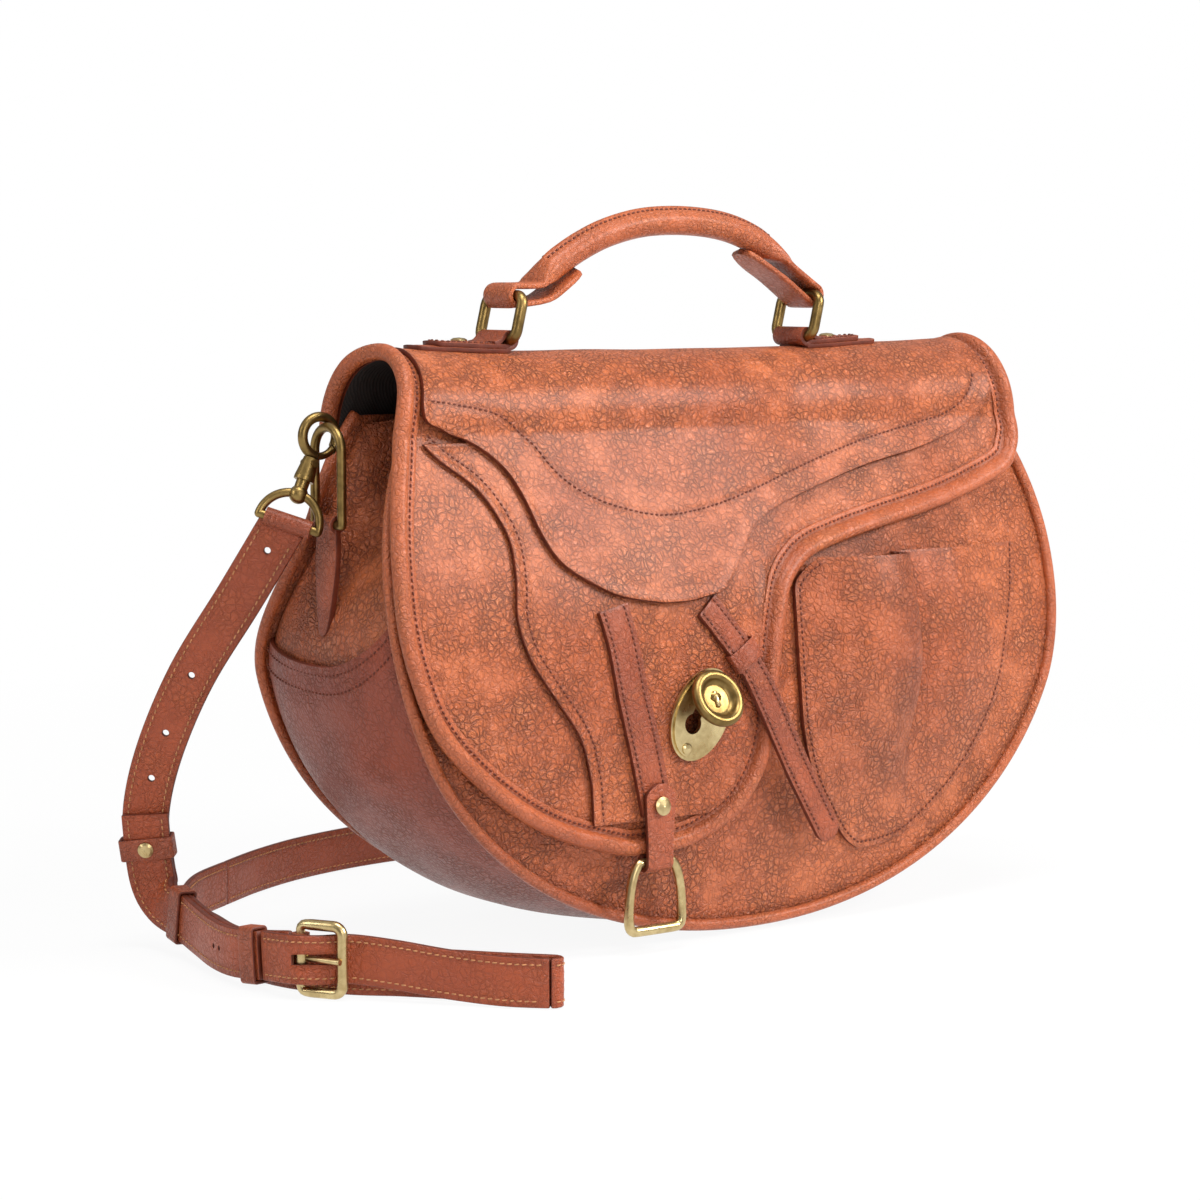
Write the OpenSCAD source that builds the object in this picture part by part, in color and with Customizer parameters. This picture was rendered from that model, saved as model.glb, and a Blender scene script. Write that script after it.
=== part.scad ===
// Saddle handbag: a round fronted shoulder bag with a saddle shaped flap, a turn lock,
// a hanging stirrup, a rolled carrying handle and a clip on shoulder strap.
// X runs along the bag, the front faces -Y, Z is up, and the bag stands on z = 0.

/* [Body] */
// one millimetre, the unit that small fixed amounts are counted in
unit = 1; // [0.9:0.05:1.1]
// half the width of the bag over its piping; the outline shares below count in it
ref_w = 170.5; // [150:0.5:190]
// height of the widest place above the floor
wide_z = 135; // [125:1:145]
// height of the panels' lowest seam point above the floor
seam_low = 6; // [5:0.5:7]
// height of the bag's mouth
mouth_z = 205; // [195:1:212]
// half the depth of the body at its seams
seam_half_depth = 51; // [44:0.5:58]
// depth of the front at the mouth
mouth_half_depth = 24; // [20:0.5:28]
// height where the sides start to lean in
taper_z = 90; // [80:1:100]
// height where the back starts to lean in
back_taper_z = 104; // [98:1:110]
// height where the back stands upright again
back_flat_z = 172; // [165:1:180]
// depth of the back at the mouth
back_mouth = 15; // [13:0.5:18]
// how far the filled front and back stand out in the middle
bulge = 8; // [4:0.5:11]
// thickness of the body leather
leather = 1.6; // [1.2:0.1:2]
// thickness of the dark lining
lining = 0.8; // [0.6:0.1:1]
// how far the gusset stands out between the seams
gusset_bulge = 6.5; // [6:0.25:8]
// radius of the piping cord in the seams
piping_r = 2.3; // [1.8:0.1:2.5]
// how deep the upper side is folded in at the mouth
fold_depth = 42; // [30:1:48]
// height where the lower side piece ends in the middle of the side
gusset_top = 114; // [108:1:120]
// how much higher that edge is at the seams
gusset_rise = 21; // [12:1:26]

/* [Flap] */
// thickness of the flap
flap_t = 2; // [1.6:0.1:2.4]
// gap between the body and the flap in the middle
flap_gap = 1; // [0.8:0.1:1.4]
// extra gap at the rim, where the flap lies on the piping
rim_lift = 2.6; // [2.4:0.1:3]
// height where the front of the flap turns into the top
shoulder_z = 200; // [190:1:207]
// rise of the flap's top above its shoulder
arch_rise = 28; // [26:0.5:31]
// gap between the mouth and the flap's back
hinge_gap = 2.6; // [2.5:0.1:3]
// radius of the rolled binding round the flap
binding_r = 3.2; // [2.6:0.1:3.4]
// height of the rolled binding's middle above the flap's inner face
binding_out = 2.75; // [2.6:0.05:3]
// thickness of the sewn on middle panel
skirt_t = 1.4; // [1:0.1:1.6]
// thickness of the saddle shaped top layer
seat_t = 1.6; // [1.2:0.1:2]
// width of the strap that the stirrup hangs from
stirrup_strap_w = 14; // [12:0.5:15]
// width of the narrow tie strap beside the lock
tie_w = 11.5; // [10:0.5:13]
// thickness of both small straps
small_strap_t = 1.8; // [1.4:0.1:2]

/* [Pocket] */
// how far the pocket's pleat stands out at its mouth
pleat_out = 9; // [6:0.5:12]
// how far the flat side of the pocket stands out at its mouth
pocket_out = 2.5; // [1.5:0.25:4]

/* [Lock] */
// distance of the lock's post from the middle of the bag
lock_x = -37; // [-40:0.5:-34]
// height of the lock's post
lock_z = 97.5; // [95:0.5:100]
// half the long side of the lock's oval plate
plate_long = 19; // [18:0.25:20]
// half the short side of the lock's oval plate
plate_short = 13.5; // [13:0.25:14.5]
// thickness of the lock's plate
plate_t = 1.8; // [1.4:0.1:2.2]
// lean of the oval plate, in degrees
plate_turn = 32; // [25:1:40]
// how far the knob's head stands out in front of the plate
knob_stand = 5; // [4:0.25:6]
// radius of the knob's ring
knob_r = 9.6; // [9:0.1:10]
// how far the knob's head tips up, in degrees
knob_tip = 28; // [20:1:30]
// radius of the knob's stem
stem_r = 2.2; // [2:0.1:2.4]
// how far the knob slides down its slot
knob_slide = 8; // [6:0.5:9]

/* [Stirrup] */
// height of the stirrup's top bar
bar_z = 35; // [34:0.5:38]
// height of the stirrup below its bar
stirrup_drop = 28; // [26:0.5:29]
// half the width of the stirrup at its tread
tread_half = 12.4; // [11.5:0.1:13.5]
// half the width of the stirrup's shoulders
shoulder_half = 9.4; // [9:0.1:10]
// radius of the stirrup's rod
rod_r = 1.9; // [1.6:0.1:2]

/* [Handle] */
// distance of the left handle ring from the middle
ring_left_x = -92.5; // [-96:0.5:-88]
// distance of the right handle ring from the middle
ring_right_x = 59; // [55:0.5:64]
// depth position of the handle's plane
handle_y = -5; // [-8:0.5:-2]
// thickness of the rolled handle
handle_t = 10.6; // [9.5:0.1:12]
// rise of the handle's middle above its ends
handle_rise = 29; // [24:0.5:32]
// height of the ring's upper bar above its lower bar
ring_drop = 17.5; // [17:0.5:20]
// half the length of the ring's bars
ring_half = 11.6; // [11.4:0.1:12.5]
// radius of the rings' wire
wire_r = 2.2; // [1.9:0.1:2.3]
// width of the handle's tabs
tab_w = 18; // [16:0.5:18.5]

/* [Shoulder strap] */
// width of the shoulder strap
strap_w = 18; // [16:0.5:19]
// thickness of the shoulder strap
strap_t = 2.2; // [1.8:0.1:2.6]
// radius of the snap hook's claw, to the middle of its wire
claw_r = 7.4; // [7:0.1:8]
// lean of the snap hooks, in degrees
hook_lean = 24; // [20:1:28]
// radius of the ring in the strap's end
end_ring_r = 11.6; // [11.2:0.1:12.2]
// width of the buckle's frame along the strap
buckle_long = 17; // [16:0.5:19]
// height of the buckle's frame, middle to middle
buckle_high = 24.6; // [23.5:0.1:26]

/* [Hidden] */
$fn = 40;
// clearance between pieces that touch
touch = 0.05*unit;
// running clearance of pins in their holes
running = 0.05*unit;
// clearance between pieces that move past each other
clear = 0.4*unit;
// gap between leather plies that lie on each other
ply = 0.2*unit;
half_w = ref_w - 4*unit;
seam_rise = wide_z - seam_low;
round_power = 2.12;
centre_z = wide_z - 0.15*seam_rise;

function ease(t) = let (s = min(1, max(0, t))) s*s*(3 - 2*s);
function clamp01(t) = min(1, max(0, t));
function size(v) = sqrt(v*v);
function unitv(v) = v/size(v);

// points of a smooth curve through the given points
function curve_at(p, i, t) =
    let (n = len(p) - 1)
    let (a = p[max(0, i - 1)])
    let (b = p[i])
    let (c = p[min(n, i + 1)])
    let (d = p[min(n, i + 2)])
    b + 0.5*t*(c - a) + t*t*(a - 2.5*b + 2*c - 0.5*d) + t*t*t*(1.5*(b - c) + 0.5*(d - a));
function curve(p, n) = concat(
    [for (i = [0:len(p) - 2]) for (k = [0:n - 1]) curve_at(p, i, k/n)],
    [p[len(p) - 1]]);
function spread(n) = [for (i = [0:n]) i/n];
function scaled(shares, size) = [for (p = shares) p*size];

// a closed sheet between two grids of points, with an optional window of cells
module sheet(A, B, hole = [0, 0, 0, 0]) {
    r = len(A);
    c = len(A[0]);
    n = r*c;
    inside = function (i, j) i >= hole[0] && i < hole[1] && j >= hole[2] && j < hole[3];
    cells = [for (i = [0:r - 2]) for (j = [0:c - 2]) if (!inside(i, j)) [i, j]];
    open = hole[1] > hole[0];
    faces = concat(
        [for (q = cells) let (a = q[0]*c + q[1]) [a, a + c, a + c + 1]],
        [for (q = cells) let (a = q[0]*c + q[1]) [a, a + c + 1, a + 1]],
        [for (q = cells) let (a = q[0]*c + q[1] + n) [a, a + c + 1, a + c]],
        [for (q = cells) let (a = q[0]*c + q[1] + n) [a, a + 1, a + c + 1]],
        wall([for (j = [0:c - 1]) j], n),
        wall([for (i = [0:r - 1]) i*c + c - 1], n),
        wall([for (j = [c - 1:-1:0]) (r - 1)*c + j], n),
        wall([for (i = [r - 1:-1:0]) i*c], n),
        !open ? [] : wall([for (j = [hole[3]:-1:hole[2]]) hole[0]*c + j], n),
        !open ? [] : wall([for (i = [hole[1]:-1:hole[0]]) i*c + hole[3]], n),
        !open ? [] : wall([for (j = [hole[2]:hole[3]]) hole[1]*c + j], n),
        !open ? [] : wall([for (i = [hole[0]:hole[1]]) i*c + hole[2]], n));
    polyhedron(concat([for (row = A) each row], [for (row = B) each row]), faces, convexity = 10);
}
function wall(ids, n) = [for (k = [0:len(ids) - 2]) each
    [[ids[k], ids[k + 1], ids[k + 1] + n], [ids[k], ids[k + 1] + n, ids[k] + n]]];

// a tube through rings of points, open ended with caps or closed in a loop
module tube(rings, loop = false) {
    r = len(rings);
    c = len(rings[0]);
    last = loop ? r - 1 : r - 2;
    sides = [for (i = [0:last]) for (j = [0:c - 1]) each
        let (a = i*c + j)
        let (b = i*c + (j + 1)%c)
        let (k = ((i + 1)%r)*c)
        [[a, b, k + (j + 1)%c], [a, k + (j + 1)%c, k + j]]];
    caps = loop ? [] : [[for (j = [c - 1:-1:0]) j], [for (j = [0:c - 1]) (r - 1)*c + j]];
    polyhedron([for (q = rings) each q], concat(sides, caps), convexity = 10);
}
// a round cord along a path; each station is [point, outward direction, second direction]
module cord(stations, radius, sides = 8, loop = false) {
    reach = 1.04*radius;
    tube([for (s = stations) [for (k = [0:sides - 1])
        let (a = 360*(k + 0.5)/sides)
        s[0] + reach*(cos(a)*s[1] + sin(a)*s[2])]], loop);
}

// body surfaces
function round_share(x, z) =
    pow(abs(x)/half_w, round_power) + pow(abs(z - wide_z)/seam_rise, round_power);
function dome(x, z) = max(0, 1 - round_share(x, z));
function seam_y(z) = seam_half_depth
    - (seam_half_depth - mouth_half_depth)*pow(clamp01((z - taper_z)/(mouth_z - taper_z)), 1.5);
function fade(z) = 1 - 0.7*ease((z - centre_z)/(mouth_z - centre_z));
function back_seam(z) = seam_half_depth
    - (seam_half_depth - back_mouth)*ease((z - back_taper_z)/(back_flat_z - back_taper_z));
function seam_at(side, z) = side < 0 ? seam_y(z) : back_seam(z);
function face_at(side, x, z) = seam_at(side, z) + bulge*dome(x, z)*fade(z);
function front_y(x, z) = -face_at(-1, x, z);
function half_at(z) = half_w*pow(max(0, 1 - pow(abs(z - wide_z)/seam_rise, round_power)), 1/round_power);

// the seam line from the right mouth corner round the bottom to the left one
seam_start = asin((mouth_z - wide_z)/seam_rise);
function seam_pt(a) = [
    half_w*sign(cos(a))*pow(abs(cos(a)), 2/round_power),
    wide_z + seam_rise*sign(sin(a))*pow(abs(sin(a)), 2/round_power)];
corner_a = asin(pow((mouth_z - wide_z)/seam_rise, round_power/2));
seam_n = 44;
seam_angles = [for (t = spread(seam_n)) corner_a - t*(180 + 2*corner_a)];
seam_line = [for (a = seam_angles) seam_pt(a)];
function seam_out(i) =
    let (p = seam_line)
    let (d = p[min(seam_n, i + 1)] - p[max(0, i - 1)])
    unitv([-d[1], d[0]]);

// panels: rings of points from the seam to the middle, one side out and one side in
panel_rings = [1, 0.86, 0.62, 0.32];
module panel(side, inset, thick, shrink) {
    top_n = 10;
    rim = concat(seam_line, [for (k = [1:top_n - 1])
        [-half_at(mouth_z) + 2*half_at(mouth_z)*k/top_n, mouth_z]]);
    c = len(rim);
    mid = [0, centre_z];
    place = function (p, deep) [p[0], side*(face_at(side, p[0], p[1]) - deep), p[1]];
    ring = function (s, deep) [for (p = rim) place(mid + (p - mid)*s*shrink, deep)];
    m = len(panel_rings);
    outer = [for (s = panel_rings) each ring(s, inset)];
    inner = [for (s = panel_rings) each ring(s, inset + thick)];
    n = m*c;
    turn = side > 0;
    band = [for (i = [0:m - 2]) for (j = [0:c - 1]) each
        let (a = i*c + j)
        let (b = i*c + (j + 1)%c)
        [[a, b, b + c], [a, b + c, a + c]]];
    fan = [for (j = [0:c - 1]) [(m - 1)*c + j, (m - 1)*c + (j + 1)%c, 2*n]];
    face = concat(band, fan);
    rear = [for (f = face) [f[2] + (f[2] == 2*n ? 1 : n), f[1] + n, f[0] + n]];
    edge = [for (j = [0:c - 1]) each [[j, j + n, (j + 1)%c + n], [j, (j + 1)%c + n, (j + 1)%c]]];
    all = concat(face, rear, edge);
    points = concat(outer, inner, [place(mid, inset), place(mid, inset + thick)]);
    polyhedron(points, turn ? [for (f = all) [f[2], f[1], f[0]]] : all, convexity = 10);
}
lining_share = 0.95;
lining_gap = 0.9*unit;
module front_panel() {
    color([0.74, 0.4, 0.24]) panel(-1, 0, leather, 1);
}
module back_panel() {
    color([0.74, 0.4, 0.24]) panel(1, 0, leather, 1);
}
module front_lining() {
    color([0.13, 0.1, 0.09]) panel(-1, leather + lining_gap, lining, lining_share);
}
module back_lining() {
    color([0.13, 0.1, 0.09]) panel(1, leather + lining_gap, lining, lining_share);
}

// piping in the seams, outside the panels' edges
module piping(side) {
    y0 = function (z) side*(seam_at(side, z) - 0.5*leather + 0.5*unit);
    cord([for (i = [0:seam_n])
        let (p = seam_line[i])
        let (o = seam_out(i))
        let (q = p + o*(piping_r + touch))
        [[q[0], y0(p[1]), q[1]], [o[0], 0, o[1]], [0, 1, 0]]], piping_r, 6);
}
module front_piping() {
    color([0.7, 0.36, 0.21]) piping(-1);
}
module back_piping() {
    color([0.7, 0.36, 0.21]) piping(1);
}

// gusset: the strip between the panels, out along the seam normal by its bulge
gusset_cols = [-1, -0.85, -0.6, -0.3, 0, 0.3, 0.6, 0.85, 1];
function seam_index(z) = [for (i = [0:seam_n/2 - 1]) if (seam_line[i][1] >= z && seam_line[i + 1][1] < z)
    i + (seam_line[i][1] - z)/(seam_line[i][1] - seam_line[i + 1][1])][0];
function seam_mix(list, f) = let (i = floor(f)) list[i] + (f - i)*(list[min(seam_n, i + 1)] - list[i]);
seam_outs = [for (i = [0:seam_n]) seam_out(i)];
function fold_at(z, v) = fold_depth*ease((z - gusset_top)/(mouth_z - gusset_top))
    *pow(1 - v*v, 1.4);
function gusset_pt(f, v, deep) =
    let (p = seam_mix(seam_line, f))
    let (o = unitv(seam_mix(seam_outs, f)))
    let (half = 0.5*(seam_y(p[1]) + back_seam(p[1])) - leather - ply)
    let (y = 0.5*(back_seam(p[1]) - seam_y(p[1])) + v*half)
    let (out = gusset_bulge*(1 - v*v)*(1 - 0.5*ease((p[1] - gusset_top)/(mouth_z - gusset_top))))
    let (q = p + o*(out - deep))
    let (x = q[0] - sign(q[0])*fold_at(p[1], v))
    [x, y, max(deep, q[1])];
function gusset_edge(v) = gusset_top + gusset_rise*v*v*(v < 0 ? 1 : 0.27);
module lower_gusset() {
    n = 30;
    rows = function (deep) [for (t = spread(n)) [for (v = gusset_cols)
        let (e = seam_index(gusset_edge(v)))
        gusset_pt(e + t*(seam_n - 2*e), v, deep)]];
    color([0.6, 0.29, 0.16]) sheet(rows(leather), rows(0));
}
module upper_gusset(left) {
    n = 9;
    lap = 6*unit;
    rows = function (deep) [for (t = spread(n)) [for (v = gusset_cols)
        let (e = seam_index(gusset_edge(v) - lap))
        let (top = seam_index(mouth_z - unit))
        let (f = top + t*(e - top))
        gusset_pt(left ? seam_n - f : f, v, deep)]];
    deep0 = leather + 3*ply;
    if (left) {
        sheet(rows(deep0), rows(deep0 + leather));
    } else {
        sheet(rows(deep0 + leather), rows(deep0));
    }
}
module upper_gusset_left() {
    color([0.72, 0.38, 0.22]) upper_gusset(true);
}
module upper_gusset_right() {
    color([0.72, 0.38, 0.22]) upper_gusset(false);
}

// flap surface: u is the height on the front, then the way over the top to the back
arch_span = 88*unit;
arch_end = shoulder_z + arch_span;
function flap_off(x, z) = flap_gap + rim_lift*pow(min(1, round_share(x, z)), 3);
function flap_pt(x, u, out) =
    u <= shoulder_z
    ? [x, front_y(x, u) - flap_off(x, u) - out, u]
    : let (a = 180*(u - shoulder_z)/arch_span)
      let (lead = -front_y(x, shoulder_z) + flap_off(x, shoulder_z) + out)
      let (tail = back_mouth + hinge_gap + out)
      let (half = 0.5*(lead + tail))
      let (sag = 3*unit*pow(sin(a), 2)*(1 - pow(abs(x)/half_w, 2)))
      [x, 0.5*(tail - lead) - half*cos(a), shoulder_z + (arch_rise + out)*pow(sin(a), 0.9) - sag];

// the flap's left and right rims as shares [u, x]
left_rim_shares = [[0.26, -0.41], [0.275, -0.469], [0.314, -0.59], [0.378, -0.71], [0.467, -0.824],
    [0.563, -0.909], [0.669, -0.951], [0.78, -0.968], [0.911, -0.96], [1.018, -0.94],
    [1.136, -0.908], [1.201, -0.89], [1.3, -0.86], [1.43, -0.845], [1.55, -0.868], [1.71, -0.885]];
right_rim_shares = [[0.26, -0.3], [0.27, -0.237], [0.315, -0.133], [0.384, -0.073], [0.47, -0.043],
    [0.572, -0.034], [0.689, -0.008], [0.762, 0.017], [0.834, 0.056], [0.896, 0.139], [0.931, 0.267],
    [0.96, 0.409], [0.986, 0.551], [1.019, 0.696], [1.066, 0.84], [1.103, 0.875], [1.145, 0.891],
    [1.214, 0.885], [1.3, 0.875], [1.43, 0.87], [1.71, 0.875]];
left_rim = curve(scaled(left_rim_shares, ref_w), 3);
right_rim = curve(scaled(right_rim_shares, ref_w), 3);
// the rows below, through and above the lock's window
lock_rows = [lock_z - 11.6*unit, lock_z + 3.6*unit];
low_rows = scaled([0.26, 0.272, 0.29, 0.32, 0.36, 0.4, 0.45], ref_w);
high_rows = scaled([0.69, 0.76, 0.81, 0.845, 0.87, 0.892, 0.912, 0.935, 0.958, 0.98, 1.002, 1.03,
    1.065, 1.11, 1.155], ref_w);
arch_rows = [for (t = [0, 0.1, 0.2, 0.3, 0.4, 0.5, 0.6, 0.72, 0.84, 0.93, 1])
    shoulder_z + t*arch_span];
flap_cols = [0, 0.06, 0.14, 0.23, 0.32, 0.41, 0.5, 0.59, 0.67, 0.735, 0.816, 0.91, 1];
all_rows = concat(low_rows, lock_rows, high_rows, arch_rows);
function rim_grid(us, cols, left, right, out) = [for (u = us) [for (s = cols)
    let (a = lookup(u, left))
    let (b = lookup(u, right))
    flap_pt(a + s*(b - a), u, out)]];
module flap_shell() {
    color([0.73, 0.39, 0.23])
        sheet(rim_grid(all_rows, flap_cols, left_rim, right_rim, flap_t),
            rim_grid(all_rows, flap_cols, left_rim, right_rim, 0), [7, 8, 9, 10]);
}
// rolled binding round the free rim of the flap
module flap_binding() {
    path = concat([for (i = [len(left_rim) - 1:-1:0]) [left_rim[i][1], left_rim[i][0]]],
        [for (p = right_rim) [p[1], p[0]]]);
    n = len(path);
    mid = binding_out;
    pts = [for (p = path) flap_pt(p[0], min(p[1], arch_end), mid)];
    color([0.71, 0.37, 0.21])
        cord([for (i = [0:n - 1])
            let (t = unitv(pts[min(n - 1, i + 1)] - pts[max(0, i - 1)]))
            let (u = min(path[i][1], arch_end))
            let (up = unitv(flap_pt(path[i][0], u, mid + unit) - pts[i]))
            let (s = unitv(cross(t, up)))
            let (c = pts[i] + s*(binding_r + 2*touch))
            [[c[0], u <= shoulder_z ? flap_pt(c[0], c[2], mid)[1] : c[1], c[2]], s, unitv(cross(s, t))]],
            binding_r, 6);
}
// middle panel sewn on the flap, with the curved stitched edge on its left
skirt_left_shares = [[0.3, -0.514], [0.35, -0.518], [0.406, -0.525], [0.499, -0.555], [0.592, -0.62],
    [0.684, -0.678], [0.771, -0.699], [0.857, -0.687], [0.942, -0.686], [1.015, -0.717],
    [1.066, -0.758], [1.116, -0.828], [1.155, -0.87]];
skirt_right_shares = [[0.3, -0.19], [0.33, -0.14], [0.384, -0.1], [0.47, -0.07], [0.572, -0.06],
    [0.689, -0.036], [0.762, -0.015], [0.83, 0.01], [0.88, 0], [0.94, -0.05], [1.02, -0.15],
    [1.155, -0.3]];
skirt_left = curve(scaled(skirt_left_shares, ref_w), 3);
skirt_right = curve(scaled(skirt_right_shares, ref_w), 3);
skirt_rows = concat(scaled([0.3, 0.32, 0.36, 0.4, 0.45], ref_w), lock_rows,
    scaled([0.69, 0.76, 0.845, 0.912, 0.98, 1.03, 1.065, 1.11, 1.155], ref_w));
skirt_cols = [0, 0.1, 0.22, 0.34, 0.45, 0.53, 0.61, 0.745, 0.87, 1];
skirt_low = flap_t + ply;
module flap_skirt() {
    color([0.75, 0.41, 0.25])
        sheet(rim_grid(skirt_rows, skirt_cols, skirt_left, skirt_right, skirt_low + skirt_t),
            rim_grid(skirt_rows, skirt_cols, skirt_left, skirt_right, skirt_low), [5, 6, 6, 7]);
}
// saddle shaped top layer, as shares [u, x] of its left and right edges
seat_left_shares = [[0.788, -0.311], [0.807, -0.419], [0.84, -0.494], [0.887, -0.564], [0.95, -0.603],
    [1.038, -0.634], [1.102, -0.672], [1.154, -0.741], [1.181, -0.819], [1.205, -0.865], [1.3, -0.84],
    [1.43, -0.825], [1.71, -0.83]];
seat_right_shares = [[0.788, -0.24], [0.797, -0.175], [0.809, -0.127], [0.868, -0.07], [0.933, -0.014],
    [0.979, 0.068], [1.021, 0.207], [1.066, 0.382], [1.106, 0.593], [1.149, 0.74], [1.199, 0.827],
    [1.25, 0.845], [1.71, 0.845]];
seat_left = curve(scaled(seat_left_shares, ref_w), 3);
seat_right = curve(scaled(seat_right_shares, ref_w), 3);
seat_cols = [0, 0.08, 0.2, 0.35, 0.5, 0.65, 0.8, 0.92, 1];
seat_low = 0.788*ref_w;
seat_end = shoulder_z + 0.73*arch_span;
seat_rows = concat([seat_low], [for (u = all_rows) if (u > 1.02*seat_low && u < seat_end) u]);
function seat_out(u) = flap_t + 2*ply + skirt_t*(1 - ease((u - shoulder_z)/(0.16*shoulder_z)));
module saddle_seat() {
    grid = function (extra) [for (u = seat_rows) [for (s = seat_cols)
        let (a = lookup(u, seat_left))
        let (b = lookup(u, seat_right))
        flap_pt(a + s*(b - a), u, seat_out(u) + extra)]];
    color([0.76, 0.42, 0.26]) sheet(grid(seat_t), grid(0));
}
// flap's back strip, sewn on the back panel, with a bead that the flap turns on
hinge_y = back_mouth + hinge_gap + 0.5*flap_t;
hinge_r = 0.9*unit;
hinge_z = shoulder_z - hinge_r - 2*touch;
strip_long = 22*unit;
module flap_back() {
    half = 0.84*ref_w;
    cols = [-1, -0.75, -0.5, -0.25, 0, 0.25, 0.5, 0.75, 1];
    top = hinge_z - 2*unit;
    tongue = function (way, z) [for (c = cols) [c*half, hinge_y - (way > 0 ? 0 : 0.5*skirt_t), z]];
    rows = function (way) [
        tongue(way, hinge_z - hinge_r - touch),
        tongue(way, top + 2.5*ply),
        each [for (t = [0, 0.3, 0.65, 1]) [for (c = cols)
            let (z = top - t*strip_long)
            let (on = back_panel_y(c*half, z) + 5*ply)
            let (y = on + (1 - ease(3*t))*max(0, hinge_y - 0.5*skirt_t - on))
            [c*half, y + (way > 0 ? skirt_t : 0), z]]]];
    color([0.72, 0.38, 0.22]) sheet(rows(-1), rows(1));
}
// round cord in the fold of the back strip, that the flap turns about
module hinge_cord() {
    half = 0.84*ref_w - unit;
    color([0.68, 0.34, 0.2]) translate([-half, hinge_y, hinge_z]) rotate([0, 90, 0])
        cylinder(r = hinge_r, h = 2*half, $fn = 32);
}
function back_panel_y(x, z) = face_at(1, x, z);
// a flat strap lying on the flap along a path of shares [x, u]
module flap_strap(shares, width, out, thick) {
    path = curve(scaled(shares, ref_w), 3);
    n = len(path);
    cols = [-0.5, 0, 0.5];
    grid = function (extra) [for (i = [0:n - 1])
        let (d = unitv(path[min(n - 1, i + 1)] - path[max(0, i - 1)]))
        let (s = [-d[1], d[0]])
        [for (c = cols) flap_pt(path[i][0] - c*width*s[0], path[i][1] - c*width*s[1],
            out(path[i][1]) + extra)]];
    sheet(grid(thick), grid(0));
}
over_skirt = flap_t + 2*ply + skirt_t;
module stirrup_strap() {
    color([0.7, 0.36, 0.2])
        flap_strap([[-0.45, 0.785], [-0.436, 0.712], [-0.416, 0.578], [-0.384, 0.463], [-0.345, 0.32]],
            stirrup_strap_w, function (u) over_skirt, small_strap_t);
}
// short folded loop that carries the stirrup's top bar
bar_x = -0.347*ref_w;
bar_eye = rod_r + running;
loop_t = 1.6*unit;
over_roll = binding_out + 1.04*binding_r;
loop_out = over_roll + 0.25*unit;
bar_y = flap_pt(bar_x, bar_z, loop_out + loop_t)[1] - bar_eye;
loop_top = 0.385*ref_w;
loop_rest = bar_eye + loop_t + loop_out - over_skirt - small_strap_t - ply;
loop_lean = atan((flap_pt(bar_x, loop_top, 0)[1] - flap_pt(bar_x, bar_z, 0)[1])/(loop_top - bar_z));
loop_w = 12.4*unit;
module stirrup_loop() {
    outer = bar_eye + loop_t;
    loop_long = loop_top - bar_z;
    color([0.68, 0.34, 0.19])
        translate([bar_x, bar_y, bar_z]) rotate([-loop_lean, 0, 0])
            rotate([0, -90, 0]) translate([0, 0, -0.5*loop_w]) difference() {
                linear_extrude(loop_w) polygon(concat(
                    [for (a = [-90:-20:-270]) outer*[cos(a), sin(a)]],
                    [[0.45*loop_long, 0.8*outer], [0.5*loop_long, 0.5*outer],
                        [loop_long, loop_rest], [loop_long, loop_rest - loop_t]]));
                linear_extrude(3*loop_w, center = true) circle(bar_eye);
            }
}
module tie_strap() {
    color([0.68, 0.34, 0.19])
        flap_strap([[-0.187, 0.775], [-0.149, 0.727], [-0.1, 0.66], [-0.04, 0.549], [0.044, 0.402],
            [0.119, 0.289], [0.175, 0.205]], tie_w, function (u) tie_out(u), small_strap_t);
}
function tie_out(u) = over_skirt
    + (over_roll + ply - over_skirt)*(1 - ease((u/ref_w - 0.58)/0.12));
// keeper round the tie strap
module tie_keeper() {
    half = 0.5*tie_w + clear;
    on = function (x, u) flap_pt(x*ref_w, u*ref_w, tie_out(u*ref_w) + 0.5*small_strap_t + 0.75*ply);
    t = unitv(on(-0.08, 0.625) - on(-0.122, 0.695));
    w = unitv(cross([0, -1, 0], t));
    color([0.66, 0.32, 0.18])
        keeper(on(-0.1, 0.66), t, w, cross(t, w), half, 0.5*small_strap_t + 2*ply,
            1.1*unit, 7*unit, false);
}
// a flat ring of leather round a strap: centre, along, across and out directions
module keeper(c, t, w, n, half_across, half_out, thick, wide, closed = true) {
    corners = closed ? [[1, 1], [-1, 1], [-1, -1], [1, -1]] : [[1, -1], [1, 1], [-1, 1], [-1, -1]];
    rings = [for (q = corners) [for (e = [[0, -0.5], [1, -0.5], [1, 0.5], [0, 0.5]])
        let (rise = closed || q[1] > 0 ? half_out + e[0]*thick : half_out)
        c + w*q[0]*(half_across + e[0]*thick) + n*q[1]*rise + t*e[1]*wide]];
    tube(rings, closed);
}
module rivet_head(radius, high) {
    rotate_extrude() polygon([[0, 0], [radius, 0], [radius, 0.35*high], [0.7*radius, 0.8*high], [0, high]]);
}
module facing_front(p) {
    translate(p) rotate([90, 0, 0]) children();
}
module stirrup_rivet() {
    outer = bar_eye + loop_t;
    up = 0.72*(loop_top - bar_z);
    slope = atan((outer + loop_rest - loop_t)/(loop_top - bar_z));
    color([0.8, 0.67, 0.42])
        translate([bar_x, bar_y, bar_z]) rotate([-loop_lean, 0, 0])
            translate([0, -outer - touch + up*tan(slope), up]) rotate([90 - slope, 0, 0])
                rivet_head(3.6*unit, 1.3*unit);
}

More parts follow.
